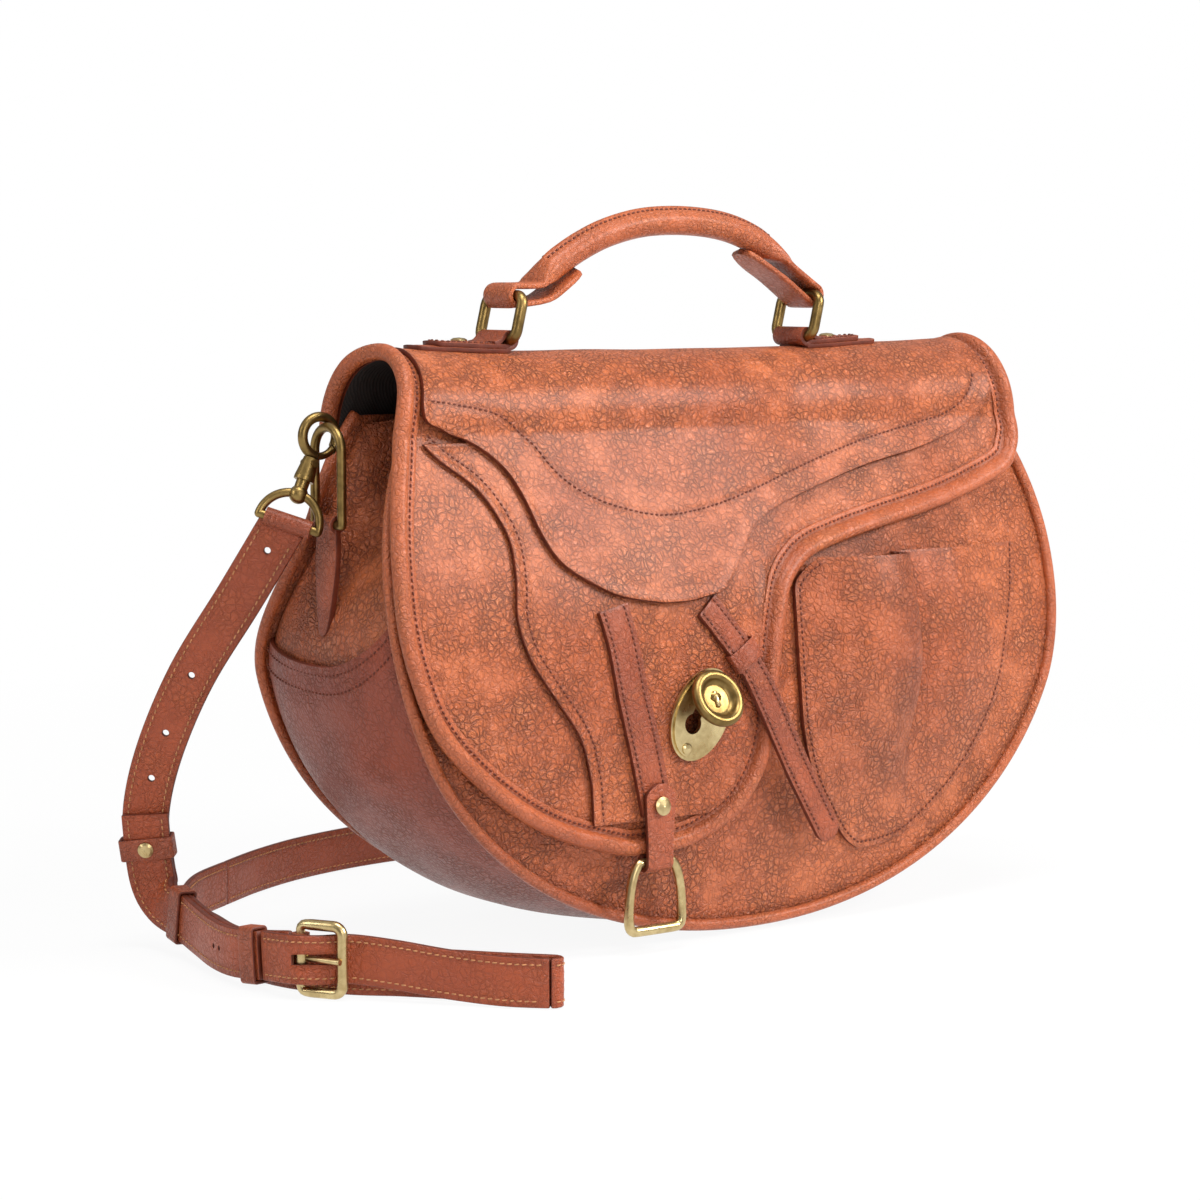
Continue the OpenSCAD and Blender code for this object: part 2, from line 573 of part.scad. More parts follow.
// pocket sewn on the front, with a standing pleat
pocket_left_shares = [[0.162, 0.3], [0.192, 0.256], [0.252, 0.208], [0.342, 0.147], [0.44, 0.112],
    [0.536, 0.094], [0.652, 0.09], [0.767, 0.1], [0.815, 0.116], [0.862, 0.175]];
pocket_right_shares = [[0.162, 0.335], [0.179, 0.44], [0.235, 0.537], [0.318, 0.635], [0.43, 0.715],
    [0.529, 0.764], [0.649, 0.804], [0.744, 0.834], [0.862, 0.862]];
pocket_left = curve(scaled(pocket_left_shares, ref_w), 3);
pocket_right = curve(scaled(pocket_right_shares, ref_w), 3);
pleat_from = 0.11*ref_w;
pleat_to = 0.425*ref_w;
pocket_to = 0.78*ref_w;
pocket_low = 0.22*ref_w;
pocket_top = 0.862*ref_w;
function pocket_gap(x, z) =
    (pleat_out*sin(180*pow(clamp01((x - pleat_from)/(pleat_to - pleat_from)), 1.7))
    + pocket_out*sin(180*clamp01((x - pleat_to)/(pocket_to - pleat_to))))
    *ease((z - pocket_low)/(pocket_top - pocket_low));
pocket_rows = scaled([0.162, 0.18, 0.21, 0.25, 0.3, 0.36, 0.43, 0.5, 0.58, 0.66, 0.73, 0.8, 0.862],
    ref_w);
pocket_cols = [0, 0.07, 0.14, 0.21, 0.28, 0.34, 0.38, 0.42, 0.455, 0.49, 0.56, 0.66, 0.76, 0.88, 1];
module pocket() {
    grid = function (extra) [for (z = pocket_rows) [for (s = pocket_cols)
        let (a = lookup(z, pocket_left))
        let (b = lookup(z, pocket_right))
        let (x = a + s*(b - a))
        [x, front_y(x, z) - touch - pocket_gap(x, z) - extra, z]]];
    color([0.74, 0.4, 0.24]) sheet(grid(leather), grid(0));
}

// turn lock: an oval plate on the flap, a sleeve on the body and a turning knob
plate_x = lock_x - 1.5*unit;
plate_z = lock_z - 7*unit;
plate_y = min([for (a = [0:30:330])
    flap_pt(plate_x + 0.8*plate_long*cos(a), plate_z + 0.8*plate_long*sin(a), over_skirt)[1]]);
base_y = min([for (a = [0:30:330]) front_y(lock_x + 3.5*unit*cos(a), lock_z + 3.5*unit*sin(a))]) - touch;
strike_t = 0.7*unit;
slot_way = [-sin(plate_turn), -cos(plate_turn)];
knob_wire = 2.1*unit;
module oval(long, short) {
    polygon([for (a = [0:7.5:352.5]) [short*cos(a), long*sin(a)]]);
}
module lock_plate() {
    color([0.8, 0.68, 0.43])
        facing_front([plate_x, plate_y, plate_z]) difference() {
            union() {
                linear_extrude(0.6*plate_t) rotate(-plate_turn) oval(plate_long, plate_short);
                linear_extrude(plate_t) rotate(-plate_turn)
                    oval(plate_long - 1.2*unit, plate_short - 1.2*unit);
            }
            translate([lock_x - plate_x, lock_z - plate_z, -plate_t])
                linear_extrude(3*plate_t) rotate(-plate_turn) union() {
                    circle(stem_r + running);
                    translate([-stem_r - running, -knob_slide - 4*unit])
                        square([2*stem_r + 2*running, knob_slide + 4*unit]);
                    translate([0, -knob_slide - 4*unit]) circle(4*unit);
                }
        }
}
module plate_rivets() {
    color([0.78, 0.66, 0.42]) for (k = [-1, 1])
        facing_front([plate_x + k*0.78*plate_long*sin(plate_turn), plate_y - plate_t - touch,
            plate_z + k*0.78*plate_long*cos(plate_turn)]) rivet_head(2.2*unit, 1*unit);
}
// the strike on the body that the knob's stem ends on
module lock_base() {
    color([0.6, 0.48, 0.28])
        facing_front([lock_x, base_y, lock_z]) cylinder(h = strike_t, r = 3.5*unit);
}
// knob with a ringed head, sliding down the plate's slot to let the flap go
module lock_knob() {
    tip = base_y - strike_t - 0.25*unit;
    reach = tip - (plate_y - plate_t - knob_stand);
    color([0.72, 0.6, 0.36])
        facing_front([lock_x, tip, lock_z]) difference() {
            union() {
                cylinder(h = reach + knob_wire, r = stem_r);
                translate([0, 0, reach + knob_wire]) rotate([-knob_tip, 0, 0]) {
                    translate([0, 0, -0.6*knob_wire]) cylinder(h = knob_wire*1.2, r = knob_r);
                    rotate_extrude() translate([knob_r, 0]) circle(knob_wire);
                }
            }
            translate([0, 0, reach + knob_wire]) rotate([-knob_tip, 0, 0])
                linear_extrude(2*knob_wire) oval(2.8*unit, 1.1*unit);
        }
}

// stirrup: a rod frame with a flat tread, hanging from its top bar
module rod(a, b, radius) {
    d = b - a;
    long = size(d);
    translate(a) rotate([0, acos(d[2]/long), atan2(d[1], d[0])]) cylinder(h = long, r = radius);
}
module stirrup() {
    neck = [shoulder_half - 1.5*unit, 0, 0];
    knee = [shoulder_half, 0, -4*unit];
    foot = [tread_half, 0, -stirrup_drop + 1.5*unit];
    color([0.82, 0.7, 0.45])
        translate([bar_x, bar_y, bar_z]) union() {
            rod([-neck[0], 0, 0], neck, rod_r);
            for (k = [0, 1]) mirror([k, 0, 0]) {
                rod(neck, knee, rod_r);
                rod(knee, foot, rod_r);
                translate(neck) sphere(1.07*rod_r);
                translate(knee) sphere(1.07*rod_r);
            }
            translate([-tread_half - 1.6*unit, -2.4*unit, -stirrup_drop])
                cube([2*tread_half + 3.2*unit, 4.8*unit, 2.6*unit]);
        }
}

// carrying handle: tabs on the flap, two rings and a rolled grip with looped ends
top_out = flap_t + 3*ply + seat_t;
function top_z(x) = flap_pt(x, shoulder_z + 0.5*arch_span, top_out)[2];
eye_out = wire_r + running + loop_t;
function ring_z(x) = max(top_z(x - 0.05*half_w), top_z(x + 0.05*half_w)) + eye_out;
ring_lean = 14;
bar_left = [ring_left_x, handle_y, ring_z(ring_left_x)];
bar_right = [ring_right_x, handle_y, ring_z(ring_right_x)];
tab_long = 42*unit;
// the tabs tilt with the flap's top, which is lowest in the middle
function tab_tilt(bar, side) = atan((top_z(bar[0] + side*tab_long) - top_z(bar[0]))/tab_long);
module handle_tab(bar, side) {
    long = tab_long;
    color([0.66, 0.33, 0.18])
        translate(bar) rotate([90, 0, 0]) linear_extrude(tab_w, center = true)
            rotate(side*tab_tilt(bar, side)) difference() {
                union() {
                    circle(eye_out);
                    translate([side > 0 ? 0 : -long, -eye_out]) square([long, loop_t]);
                    translate([side > 0 ? 0 : -0.8*long, loop_t + touch - eye_out])
                        square([0.8*long, loop_t]);
                }
                circle(wire_r + running);
            }
}
module handle_tab_left() {
    handle_tab(bar_left, -1);
}
module handle_tab_right() {
    handle_tab(bar_right, 1);
}
module tab_rivets() {
    color([0.8, 0.67, 0.42]) for (q = [[bar_left, -1], [bar_right, 1]])
        translate(q[0]) rotate([0, -q[1]*tab_tilt(q[0], q[1]), 0])
            translate([q[1]*0.43*tab_long, 0, 2*loop_t + 2*touch - eye_out]) rivet_head(3.2*unit, 1.3*unit);
}
module handle_ring(bar) {
    color([0.62, 0.5, 0.3]) translate(bar) rotate([0, ring_lean, 0]) union() {
        for (z = [0, ring_drop]) rod([0, -ring_half, z], [0, ring_half, z], wire_r);
        for (y = [-ring_half, ring_half]) {
            rod([0, y, 0], [0, y, ring_drop], wire_r);
            for (z = [0, ring_drop]) translate([0, y, z]) sphere(wire_r);
        }
    }
}
module handle_ring_left() {
    handle_ring(bar_left);
}
module handle_ring_right() {
    handle_ring(bar_right);
}
lift = ring_drop*[sin(ring_lean), 0, cos(ring_lean)];
grip_left = bar_left + lift;
grip_right = bar_right + lift;
// the grip's line between the rings' upper bars, as shares [way along, rise]
grip_shares = [[0, 0], [0.06, 0.1], [0.11, 0.24], [0.17, 0.45], [0.24, 0.65], [0.32, 0.82],
    [0.42, 0.95], [0.52, 1], [0.63, 0.99], [0.73, 0.92], [0.82, 0.77], [0.89, 0.56], [0.94, 0.32],
    [1, 0]];
grip_line = curve(grip_shares, 3);
grip_low = 0.078;
function grip_pt(t) = grip_left + t*(grip_right - grip_left) + [0, 0, handle_rise*lookup(t, grip_line)];
module handle_grip() {
    n = 22;
    c = 10;
    color([0.72, 0.38, 0.22]) tube([for (i = [0:n])
        let (t = grip_low + (1 - 2*grip_low)*i/n)
        let (d = unitv(grip_pt(t + 0.02) - grip_pt(t - 0.02)))
        let (up = [-d[2], 0, d[0]])
        [for (k = [0:c - 1])
            let (a = 360*(k + 0.5)/c)
            grip_pt(t) + 0.5*handle_t*(cos(a)*up + 1.1*sin(a)*[0, 1, 0])]]);
}
end_w = 18*unit;
module handle_loop(bar, side) {
    far = grip_pt(side < 0 ? grip_low + 0.15 : 0.85 - grip_low);
    near = grip_pt(side < 0 ? grip_low - 0.01 : 1.01 - grip_low);
    d = unitv(far - near);
    low = side*[-d[2], d[0]];
    slack = 0.5*handle_t + ply;
    under = [for (m = [near, far]) [m[0] - bar[0], m[2] - bar[2]] + low*slack];
    turn = atan2(under[0][1], under[0][0]);
    color([0.68, 0.34, 0.19])
        translate(bar) rotate([90, 0, 0]) linear_extrude(end_w, center = true) difference() {
            polygon(concat(
                [for (k = [0:12]) eye_out*[cos(turn + side*(60 + 20*k)), sin(turn + side*(60 + 20*k))]],
                under, [under[1] + low*loop_t, under[0] + low*loop_t]));
            circle(wire_r + running);
        }
}
module handle_loop_left() {
    handle_loop(grip_left, -1);
}
module handle_loop_right() {
    handle_loop(grip_right, 1);
}

// side rings on folded leather tabs, at both ends of the bag
side_x = 0.9736*ref_w;
side_y = 2*unit;
side_low = 0.9736*ref_w;
side_high = 36.5*unit;
side_half = 9*unit;
side_r = 1.8*unit;
side_drop = 41*unit;
side_eye = side_r + running;
tab_half = 6*unit;
tab_tip = max([for (y = [side_y - 0.4*tab_half, side_y + 0.4*tab_half]) let (z = side_low - side_drop)
    gusset_pt(seam_index(z), y/seam_y(z), leather + touch)[0]]);
tab_lean = atan((tab_tip + leather + 2*touch - side_x)/side_drop);
module ends(left) {
    mirror([left ? 1 : 0, 0, 0]) children();
}
module side_tab(left) {
    color([0.6, 0.29, 0.16]) ends(left) translate([side_x, side_y, side_low]) difference() {
        union() {
            rotate([90, 0, 0]) cylinder(h = 2*tab_half, r = side_eye + loop_t, center = true);
            rotate([0, -tab_lean, 0]) translate([-leather, 0, 0]) rotate([90, 0, 90])
                linear_extrude(2*leather) polygon([for (q = [[-1, 0], [-1.15, -0.2], [-1.1, -0.45],
                    [-0.8, -0.75], [-0.35, -1], [0.35, -1], [0.8, -0.75], [1.1, -0.45], [1.15, -0.2], [1, 0]])
                    [q[0]*tab_half, q[1]*side_drop]]);
        }
        rotate([90, 0, 0]) cylinder(h = 4*tab_half, r = side_eye, center = true);
    }
}
module side_tab_left() {
    side_tab(true);
}
module side_tab_right() {
    side_tab(false);
}
module side_ring(left) {
    color([0.58, 0.46, 0.27]) ends(left) translate([side_x, side_y, side_low]) {
        rod([0, -side_half, 0], [0, side_half, 0], side_r);
        for (k = [-1, 1]) {
            rod([0, k*side_half, 0], [0, k*side_half, side_high - side_half], side_r);
            translate([0, k*side_half, 0]) sphere(side_r);
        }
        translate([0, 0, side_high - side_half]) rotate([90, 0, 90]) rotate_extrude(angle = 180)
            translate([side_half, 0]) circle(side_r);
    }
}
module side_ring_left() {
    side_ring(true);
}
module side_ring_right() {
    side_ring(false);
}

// snap hooks: the claw hangs on the side ring, the strap's ring hangs in the swivel
claw_wire = 1.9*unit;
claw_sink = claw_r - claw_wire - side_r - 0.75*unit;
claw_side = 4*unit;
claw_drop = side_half - sqrt(side_half*side_half - claw_side*claw_side);
module hook_frame(left) {
    ends(left) translate([side_x, side_y + claw_side, side_low + side_high - claw_drop])
        rotate([0, -hook_lean, 0])
        translate([0, 0, -claw_sink]) children();
}
gate_from = 197;
gate_to = 262;
gate_hinge = claw_r*[cos(gate_to), 0, sin(gate_to)];
// the gate's free end and the claw's tip are cut round the gate's pin, so that the gate can swing in
gate_reach = 2*claw_r*sin(0.5*(gate_to - gate_from));
module claw_arc(from, to, wire) {
    rotate([0, 0, from]) rotate_extrude(angle = to - from) translate([claw_r, 0]) circle(wire);
}
module gate_sweep(reach) {
    translate([gate_hinge[0], gate_hinge[2], 0]) cylinder(h = 6*claw_wire, r = reach, center = true);
}
neck_z = -claw_r - 9*unit;
stud_z = neck_z - 7*unit;
module hook_body(left) {
    color([0.6, 0.47, 0.27]) hook_frame(left) difference() {
        union() {
            rotate([90, 0, 0]) difference() {
                claw_arc(gate_to, 372 + gate_from, claw_wire);
                intersection() {
                    gate_sweep(gate_reach + ply);
                    translate([-2.5*claw_r, -claw_r, -2*claw_r]) cube([2*claw_r, 2*claw_r, 4*claw_r]);
                }
            }
            translate([0, 0, neck_z]) cylinder(h = 7.5*unit, r1 = 3.9*unit, r2 = 2.9*unit);
            translate([0, 0, neck_z + 5.6*unit]) rotate([90, 0, 0])
                cylinder(h = 8.4*unit, r = 1.5*unit, center = true);
        }
        translate([0, 0, neck_z - unit]) cylinder(h = 3.5*unit, r = 1.6*unit + running);
    }
}
module hook_gate(left) {
    color([0.66, 0.53, 0.32]) hook_frame(left) rotate([90, 0, 0]) intersection() {
        claw_arc(gate_from - 14, gate_to - 6, 0.75*claw_wire);
        gate_sweep(gate_reach);
    }
}
module hook_swivel(left) {
    color([0.56, 0.43, 0.25]) hook_frame(left) difference() {
        union() {
            translate([0, 0, neck_z - touch - 1.4*unit]) cylinder(h = 1.4*unit, r = 3.9*unit);
            translate([0, 0, neck_z - touch - unit]) cylinder(h = 3*unit, r = 1.6*unit);
            translate([0, 0, stud_z]) sphere(3.6*unit);
            translate([0, 0, stud_z]) cylinder(h = neck_z - stud_z - unit, r = 2.6*unit);
        }
        translate([0, 0, stud_z]) rotate([0, 0, claw_turn(left)]) rotate([0, 90, 0])
            cylinder(h = 12*unit, r = end_wire + 3*running, center = true);
    }
}
end_wire = 1.7*unit;
module end_ring(left) {
    color([0.6, 0.48, 0.28]) hook_frame(left) translate([0, 0, stud_z - end_ring_r + end_wire*0.12])
        rotate([0, 0, claw_turn(left)]) {
            rotate([90, 0, 0]) rotate_extrude(angle = 180) translate([end_ring_r, 0]) circle(end_wire);
            rod([-end_ring_r, 0, 0], [end_ring_r, 0, 0], end_wire);
            for (k = [-1, 1]) translate([k*end_ring_r, 0, 0]) sphere(end_wire);
        }
}
module end_sleeve(left) {
    color([0.68, 0.35, 0.19]) hook_frame(left) translate([0, 0, stud_z - end_ring_r + end_wire*0.12])
        rotate([0, 0, claw_turn(left)]) rotate([0, 90, 0]) difference() {
            cylinder(h = strap_w, r = end_wire + running + loop_t, center = true);
            cylinder(h = 2*strap_w, r = end_wire + running, center = true);
        }
}
module hook_body_left() {
    hook_body(true);
}
module hook_body_right() {
    hook_body(false);
}
module hook_gate_left() {
    hook_gate(true);
}
module hook_gate_right() {
    hook_gate(false);
}
module hook_swivel_left() {
    hook_swivel(true);
}
module hook_swivel_right() {
    hook_swivel(false);
}
module end_ring_left() {
    end_ring(true);
}
module end_ring_right() {
    end_ring(false);
}
module end_sleeves() {
    end_sleeve(true);
    end_sleeve(false);
}

// shoulder strap, as stations of x, y, z shares of ref_w, and the way the outer face looks
// the way that the outer face looks is a share of a full turn
left_run_shares = [[-1.0757, 0.0613, 0.954, 0.635], [-1.125, 0.142, 0.81, 0.639],
    [-1.184, 0.249, 0.633, 0.639], [-1.218, 0.335, 0.457, 0.639], [-1.228, 0.382, 0.311, 0.635],
    [-1.212, 0.39, 0.2, 0.625], [-1.2, 0.385, 0.14, 0.61], [-1.199, 0.34, 0.105, 0.57],
    [-1.203, 0.262, 0.092, 0.52], [-1.223, 0.147, 0.076, 0.49], [-1.249, 0.035, 0.068, 0.497],
    [-1.262, -0.062, 0.068, 0.515], [-1.253, -0.155, 0.0745, 0.535], [-1.233, -0.231, 0.0827, 0.555]];
tail_shares = [for (i = [4:12]) left_run_shares[i]];
function run_pt(s) = ref_w*[s[0], s[1], s[2]];
lay = 0.3*unit;
function claw_turn(left) = left ? 40 : -60;
function out_of(s) = [cos(360*s[3]), sin(360*s[3]), 0];
module ribbon(shares, steps, shift, cols = [-0.5, 0.5], hole = [0, 0, 0, 0],
    width = strap_w, thick = strap_t) {
    path = curve(shares, steps);
    n = len(path);
    grid = function (side) [for (i = [0:n - 1])
        let (t = unitv(run_pt(path[min(n - 1, i + 1)]) - run_pt(path[max(0, i - 1)])))
        let (o = out_of(path[i]))
        let (w = unitv(cross(o, t)))
        let (out = unitv(cross(t, w)))
        [for (c = cols) run_pt(path[i]) + out*(shift + 0.5*side*thick) + w*c*width]];
    sheet(grid(-1), grid(1), hole);
}
module strap_left() {
    color([0.76, 0.42, 0.25]) ribbon(left_run_shares, 3, 0);
}
module strap_tail() {
    color([0.78, 0.44, 0.27]) ribbon(tail_shares, 3, strap_t + lay);
}
// the buckle's own frame: at the end of the left run, along the next stretch of strap
buckle_bar = run_pt(left_run_shares[13]) + [0.002, -0.0275, 0]*ref_w;
along_a = -62;
buckle_d = [cos(along_a), sin(along_a), 0];
buckle_n = [sin(along_a), -cos(along_a), 0];
buckle_wire = 1.7*unit;
module in_buckle() {
    translate(buckle_bar) rotate([0, 0, along_a]) children();
}
module buckle_frame() {
    h = 0.5*buckle_high;
    color([0.8, 0.68, 0.42]) in_buckle() {
        for (x = [0, buckle_long]) rod([x, 0, -h], [x, 0, h], buckle_wire);
        for (z = [-h, h]) {
            rod([0, 0, z], [buckle_long, 0, z], buckle_wire);
            for (x = [0, buckle_long]) translate([x, 0, z]) sphere(buckle_wire);
        }
    }
}
prong_eye = 3.4*unit;
module strap_bar_loops() {
    r = buckle_wire + running;
    long = 0.5*strap_w - 0.5*prong_eye - clear;
    color([0.7, 0.37, 0.21]) in_buckle() for (k = [-1, 1])
        translate([0, 0, k*(0.5*prong_eye + clear + 0.5*long)]) difference() {
            cylinder(h = long, r = r + loop_t, center = true);
            cylinder(h = 2*long, r = r, center = true);
        }
}
prong_r = 1.1*unit;
prong_rise = asin((buckle_wire + prong_r + 2*touch)/buckle_long);
module buckle_prong() {
    r = buckle_wire + running;
    color([0.82, 0.7, 0.45]) in_buckle() difference() {
        union() {
            cylinder(h = prong_eye, r = r + 1.2*unit, center = true);
            rod([0, 0, 0], (buckle_long + 0.7*unit)*[1, -tan(prong_rise), 0], prong_r);
        }
        cylinder(h = 4*prong_eye, r = r, center = true);
    }
}
// the long strap: through the buckle, along the floor to a fold, back and round behind the bag
front_run_shares = [
    [-1.2655, -0.167, 0.0757, 0.52], [-1.258, -0.267, 0.0827, 0.54], [-1.2155, -0.31, 0.0827, 0.62],
    [-1.158, -0.34, 0.0827, 0.617], [-1.1, -0.42, 0.076, 0.6], [-1.03, -0.51, 0.062, 0.608],
    [-0.957, -0.606, 0.0535, 0.612], [-0.8905, -0.683, 0.0532, 0.614]];
fold_shares = [
    [-0.8892, -0.6845, 0.0532, 0.614], [-0.8768, -0.6897, 0.0532, 0.739], [-0.8633, -0.685, 0.0532, 0.864],
    [-0.8575, -0.6716, 0.0532, 0.989], [-0.8622, -0.6581, 0.0532, 1.114]];
inner_run_shares = [
    [-0.8628, -0.6574, 0.0532, 1.114], [-0.93, -0.577, 0.0532, 1.115], [-1.0, -0.483, 0.0532, 1.115],
    [-1.07, -0.393, 0.0532, 1.105], [-1.134, -0.328, 0.0532, 1.11], [-1.186, -0.248, 0.0532, 1.065],
    [-1.216, -0.16, 0.0532, 1.03], [-1.222, -0.06, 0.0532, 1.0], [-1.215, 0.04, 0.0532, 0.985],
    [-1.187, 0.15, 0.0532, 0.965], [-1.16, 0.27, 0.0532, 0.96], [-1.125, 0.38, 0.0532, 0.935],
    [-1.06, 0.495, 0.0532, 0.885], [-0.95, 0.62, 0.0532, 0.865], [-0.815, 0.716, 0.0532, 0.845]];
rear_run_shares = [
    [-0.8145, 0.7164, 0.0532, 0.845], [-0.66, 0.815, 0.0532, 0.84], [-0.48, 0.9, 0.0532, 0.815],
    [-0.27, 0.955, 0.0532, 0.785], [-0.04, 0.972, 0.0532, 0.755], [0.2, 0.958, 0.0532, 0.73],
    [0.43, 0.905, 0.0532, 0.7], [0.65, 0.8, 0.0532, 0.66], [0.82, 0.67, 0.0532, 0.625]];
right_run_shares = [[0.8206, 0.6694, 0.0532, 0.625], [0.93, 0.55, 0.0532, 0.61], [1.03, 0.42, 0.068, 0.59],
    [1.115, 0.31, 0.15, 0.583], [1.165, 0.23, 0.33, 0.583], [1.175, 0.165, 0.55, 0.583],
    [1.135, 0.1, 0.78, 0.583], [1.0795, 0.0555, 0.9525, 0.583]];
module strap_front() {
    color([0.78, 0.44, 0.27]) ribbon(front_run_shares, 4, 0, [-0.5, -0.1, 0.1, 0.5], [5, 10, 1, 2]);
}
module strap_inner() {
    fold = [for (i = [0:len(fold_shares) - 2]) fold_shares[i]];
    color([0.7, 0.37, 0.22]) ribbon(concat(fold, inner_run_shares), 2, 0);
}
module strap_rear() {
    color([0.75, 0.41, 0.25]) ribbon(rear_run_shares, 2, 0);
}
module strap_right() {
    color([0.75, 0.41, 0.25]) ribbon(right_run_shares, 3, 0);
}
// leather keepers that hold the tail against the left run
keeper_t = 1.3*unit;
left_path = curve(left_run_shares, 3);
module run_keeper(k, wide) {
    s = left_path;
    t = unitv(run_pt(s[k + 1]) - run_pt(s[k - 1]));
    w = unitv(cross(out_of(s[k]), t));
    out = unitv(cross(t, w));
    keeper(run_pt(s[k]) + out*0.5*(strap_t + lay), t, w, out,
        0.5*strap_w + 2*lay, strap_t + 2*lay, keeper_t, wide);
}
upper_at = 14;
module strap_keeper_upper() {
    color([0.66, 0.33, 0.18]) run_keeper(upper_at, 6*unit);
}
module strap_keeper_middle() {
    color([0.66, 0.33, 0.18]) run_keeper(24, 9*unit);
}
module strap_keeper_lower() {
    color([0.66, 0.33, 0.18]) run_keeper(35, 7*unit);
}
module keeper_rivet() {
    p = left_path[upper_at];
    t = unitv(run_pt(left_path[upper_at + 1]) - run_pt(left_path[upper_at - 1]));
    w = unitv(cross(out_of(p), t));
    out = unitv(cross(t, w));
    c = run_pt(p) + out*(1.5*strap_t + 2.5*lay + keeper_t + 2*touch);
    color([0.8, 0.67, 0.42]) translate(c) rotate([0, acos(out[2]), atan2(out[1], out[0])])
        rivet_head(3*unit, 1.2*unit);
}

front_panel();
back_panel();
front_lining();
back_lining();
lower_gusset();
upper_gusset_left();
upper_gusset_right();
front_piping();
back_piping();
pocket();
flap_shell();
flap_binding();
flap_skirt();
saddle_seat();
flap_back();
hinge_cord();
stirrup_strap();
stirrup_loop();
stirrup_rivet();
stirrup();
tie_strap();
tie_keeper();
lock_plate();
plate_rivets();
lock_base();
lock_knob();
handle_tab_left();
handle_tab_right();
tab_rivets();
handle_ring_left();
handle_ring_right();
handle_grip();
handle_loop_left();
handle_loop_right();
side_tab_left();
side_tab_right();
side_ring_left();
side_ring_right();
hook_body_left();
hook_body_right();
hook_gate_left();
hook_gate_right();
hook_swivel_left();
hook_swivel_right();
end_ring_left();
end_ring_right();
end_sleeves();
strap_left();
strap_tail();
strap_front();
strap_inner();
strap_rear();
strap_right();
strap_keeper_upper();
strap_keeper_middle();
strap_keeper_lower();
keeper_rivet();
buckle_frame();
buckle_prong();
strap_bar_loops();
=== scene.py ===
from functools import partial
from math import asin, atan, atan2, cos, pi, radians, sin
import bpy
import numpy as np
from mathutils import Matrix, Vector
from mathutils.geometry import delaunay_2d_cdt


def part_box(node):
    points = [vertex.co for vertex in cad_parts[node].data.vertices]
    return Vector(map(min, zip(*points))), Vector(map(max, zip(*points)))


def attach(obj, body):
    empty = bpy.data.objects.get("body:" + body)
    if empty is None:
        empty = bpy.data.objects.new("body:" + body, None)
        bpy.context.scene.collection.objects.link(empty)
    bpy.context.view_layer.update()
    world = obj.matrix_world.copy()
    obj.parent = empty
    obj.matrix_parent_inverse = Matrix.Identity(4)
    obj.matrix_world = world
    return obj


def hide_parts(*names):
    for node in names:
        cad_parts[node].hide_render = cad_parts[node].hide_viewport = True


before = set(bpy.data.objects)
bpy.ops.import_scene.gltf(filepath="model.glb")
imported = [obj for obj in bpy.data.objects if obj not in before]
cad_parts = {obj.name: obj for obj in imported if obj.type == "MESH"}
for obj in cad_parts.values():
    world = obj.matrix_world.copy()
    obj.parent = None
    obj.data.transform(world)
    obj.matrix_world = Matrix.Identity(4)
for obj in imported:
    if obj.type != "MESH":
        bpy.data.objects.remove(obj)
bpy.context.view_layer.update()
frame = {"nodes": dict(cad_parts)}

MM = 0.001
nodes, scene = frame["nodes"], bpy.context.scene

# sizes in millimetres, as the solids have them
ref_w, half_w, wide_z, seam_low, mouth_z = 170.5, 166.5, 135.0, 6.0, 205.0
seam_half, mouth_half, taper_z = 51.0, 24.0, 90.0
back_taper, back_flat, back_mouth, bulge = 104.0, 172.0, 15.0, 8.0
leather, piping_r, gusset_bulge = 1.6, 2.3, 6.5
fold_depth, gusset_top, gusset_rise = 42.0, 114.0, 21.0
flap_t, flap_gap, rim_lift, ply, touch = 2.0, 1.0, 2.6, 0.2, 0.05
shoulder, arch_rise, arch_span, arch_sag, hinge_gap = 200.0, 28.0, 88.0, 3.0, 2.6
binding_r, binding_out, skirt_t, seat_t, strap2_t = 3.2, 2.75, 1.4, 1.6, 1.8
seam_rise = wide_z - seam_low
centre_z = wide_z - 0.15 * seam_rise
back_edge = back_mouth + hinge_gap
power = 2.12


# ---- curves and surfaces
def clamp(t):
    return np.clip(t, 0, 1)


def ease(t):
    t = clamp(t)
    return t * t * (3 - 2 * t)


def bell(d, w):
    """1 where d is 0, fading away over the width w"""
    return np.exp(-(d / w) ** 2)


def curve(p, n):
    """a smooth line through points, with n steps between two of them"""
    p = np.asarray(p, float)
    out = []
    for i in range(len(p) - 1):
        a, b, c, d = p[max(0, i - 1)], p[i], p[i + 1], p[min(len(p) - 1, i + 2)]
        for k in range(n):
            t = k / n
            out.append(b + 0.5 * t * (c - a) + t * t * (a - 2.5 * b + 2 * c - 0.5 * d)
                       + t ** 3 * (1.5 * (b - c) + 0.5 * (d - a)))
    return np.array(out + [p[-1]])


def drawn(*shares, n=5):
    """an outline from pairs of numbers: height and side, as shares of ref_w"""
    return curve(np.reshape(shares, (-1, 2)) * ref_w, n)[:, ::-1]


def lengths(p):
    return np.r_[0, np.cumsum(np.linalg.norm(np.diff(p, axis=0), axis=1))]


def sample(at, d, p):
    """points of the line p, whose own points lie at the distances d"""
    return np.stack([np.interp(at, d, p[:, k]) for k in range(p.shape[1])], 1)


def even(p, step, closed=False):
    p = np.asarray(p, float)
    if closed:
        p = np.vstack([p, p[:1]])
    d = lengths(p)
    n = max(3, int(round(d[-1] / step)))
    q = sample(np.linspace(0, d[-1], n + 1), d, p)
    return q[:-1] if closed else q


def unit(v):
    return v / np.maximum(np.linalg.norm(v, axis=-1, keepdims=True), 1e-9)


def along(line):
    return unit(np.gradient(line, axis=0))


def left_of(line):
    t = along(line)
    return np.stack([-t[:, 1], t[:, 0]], 1)


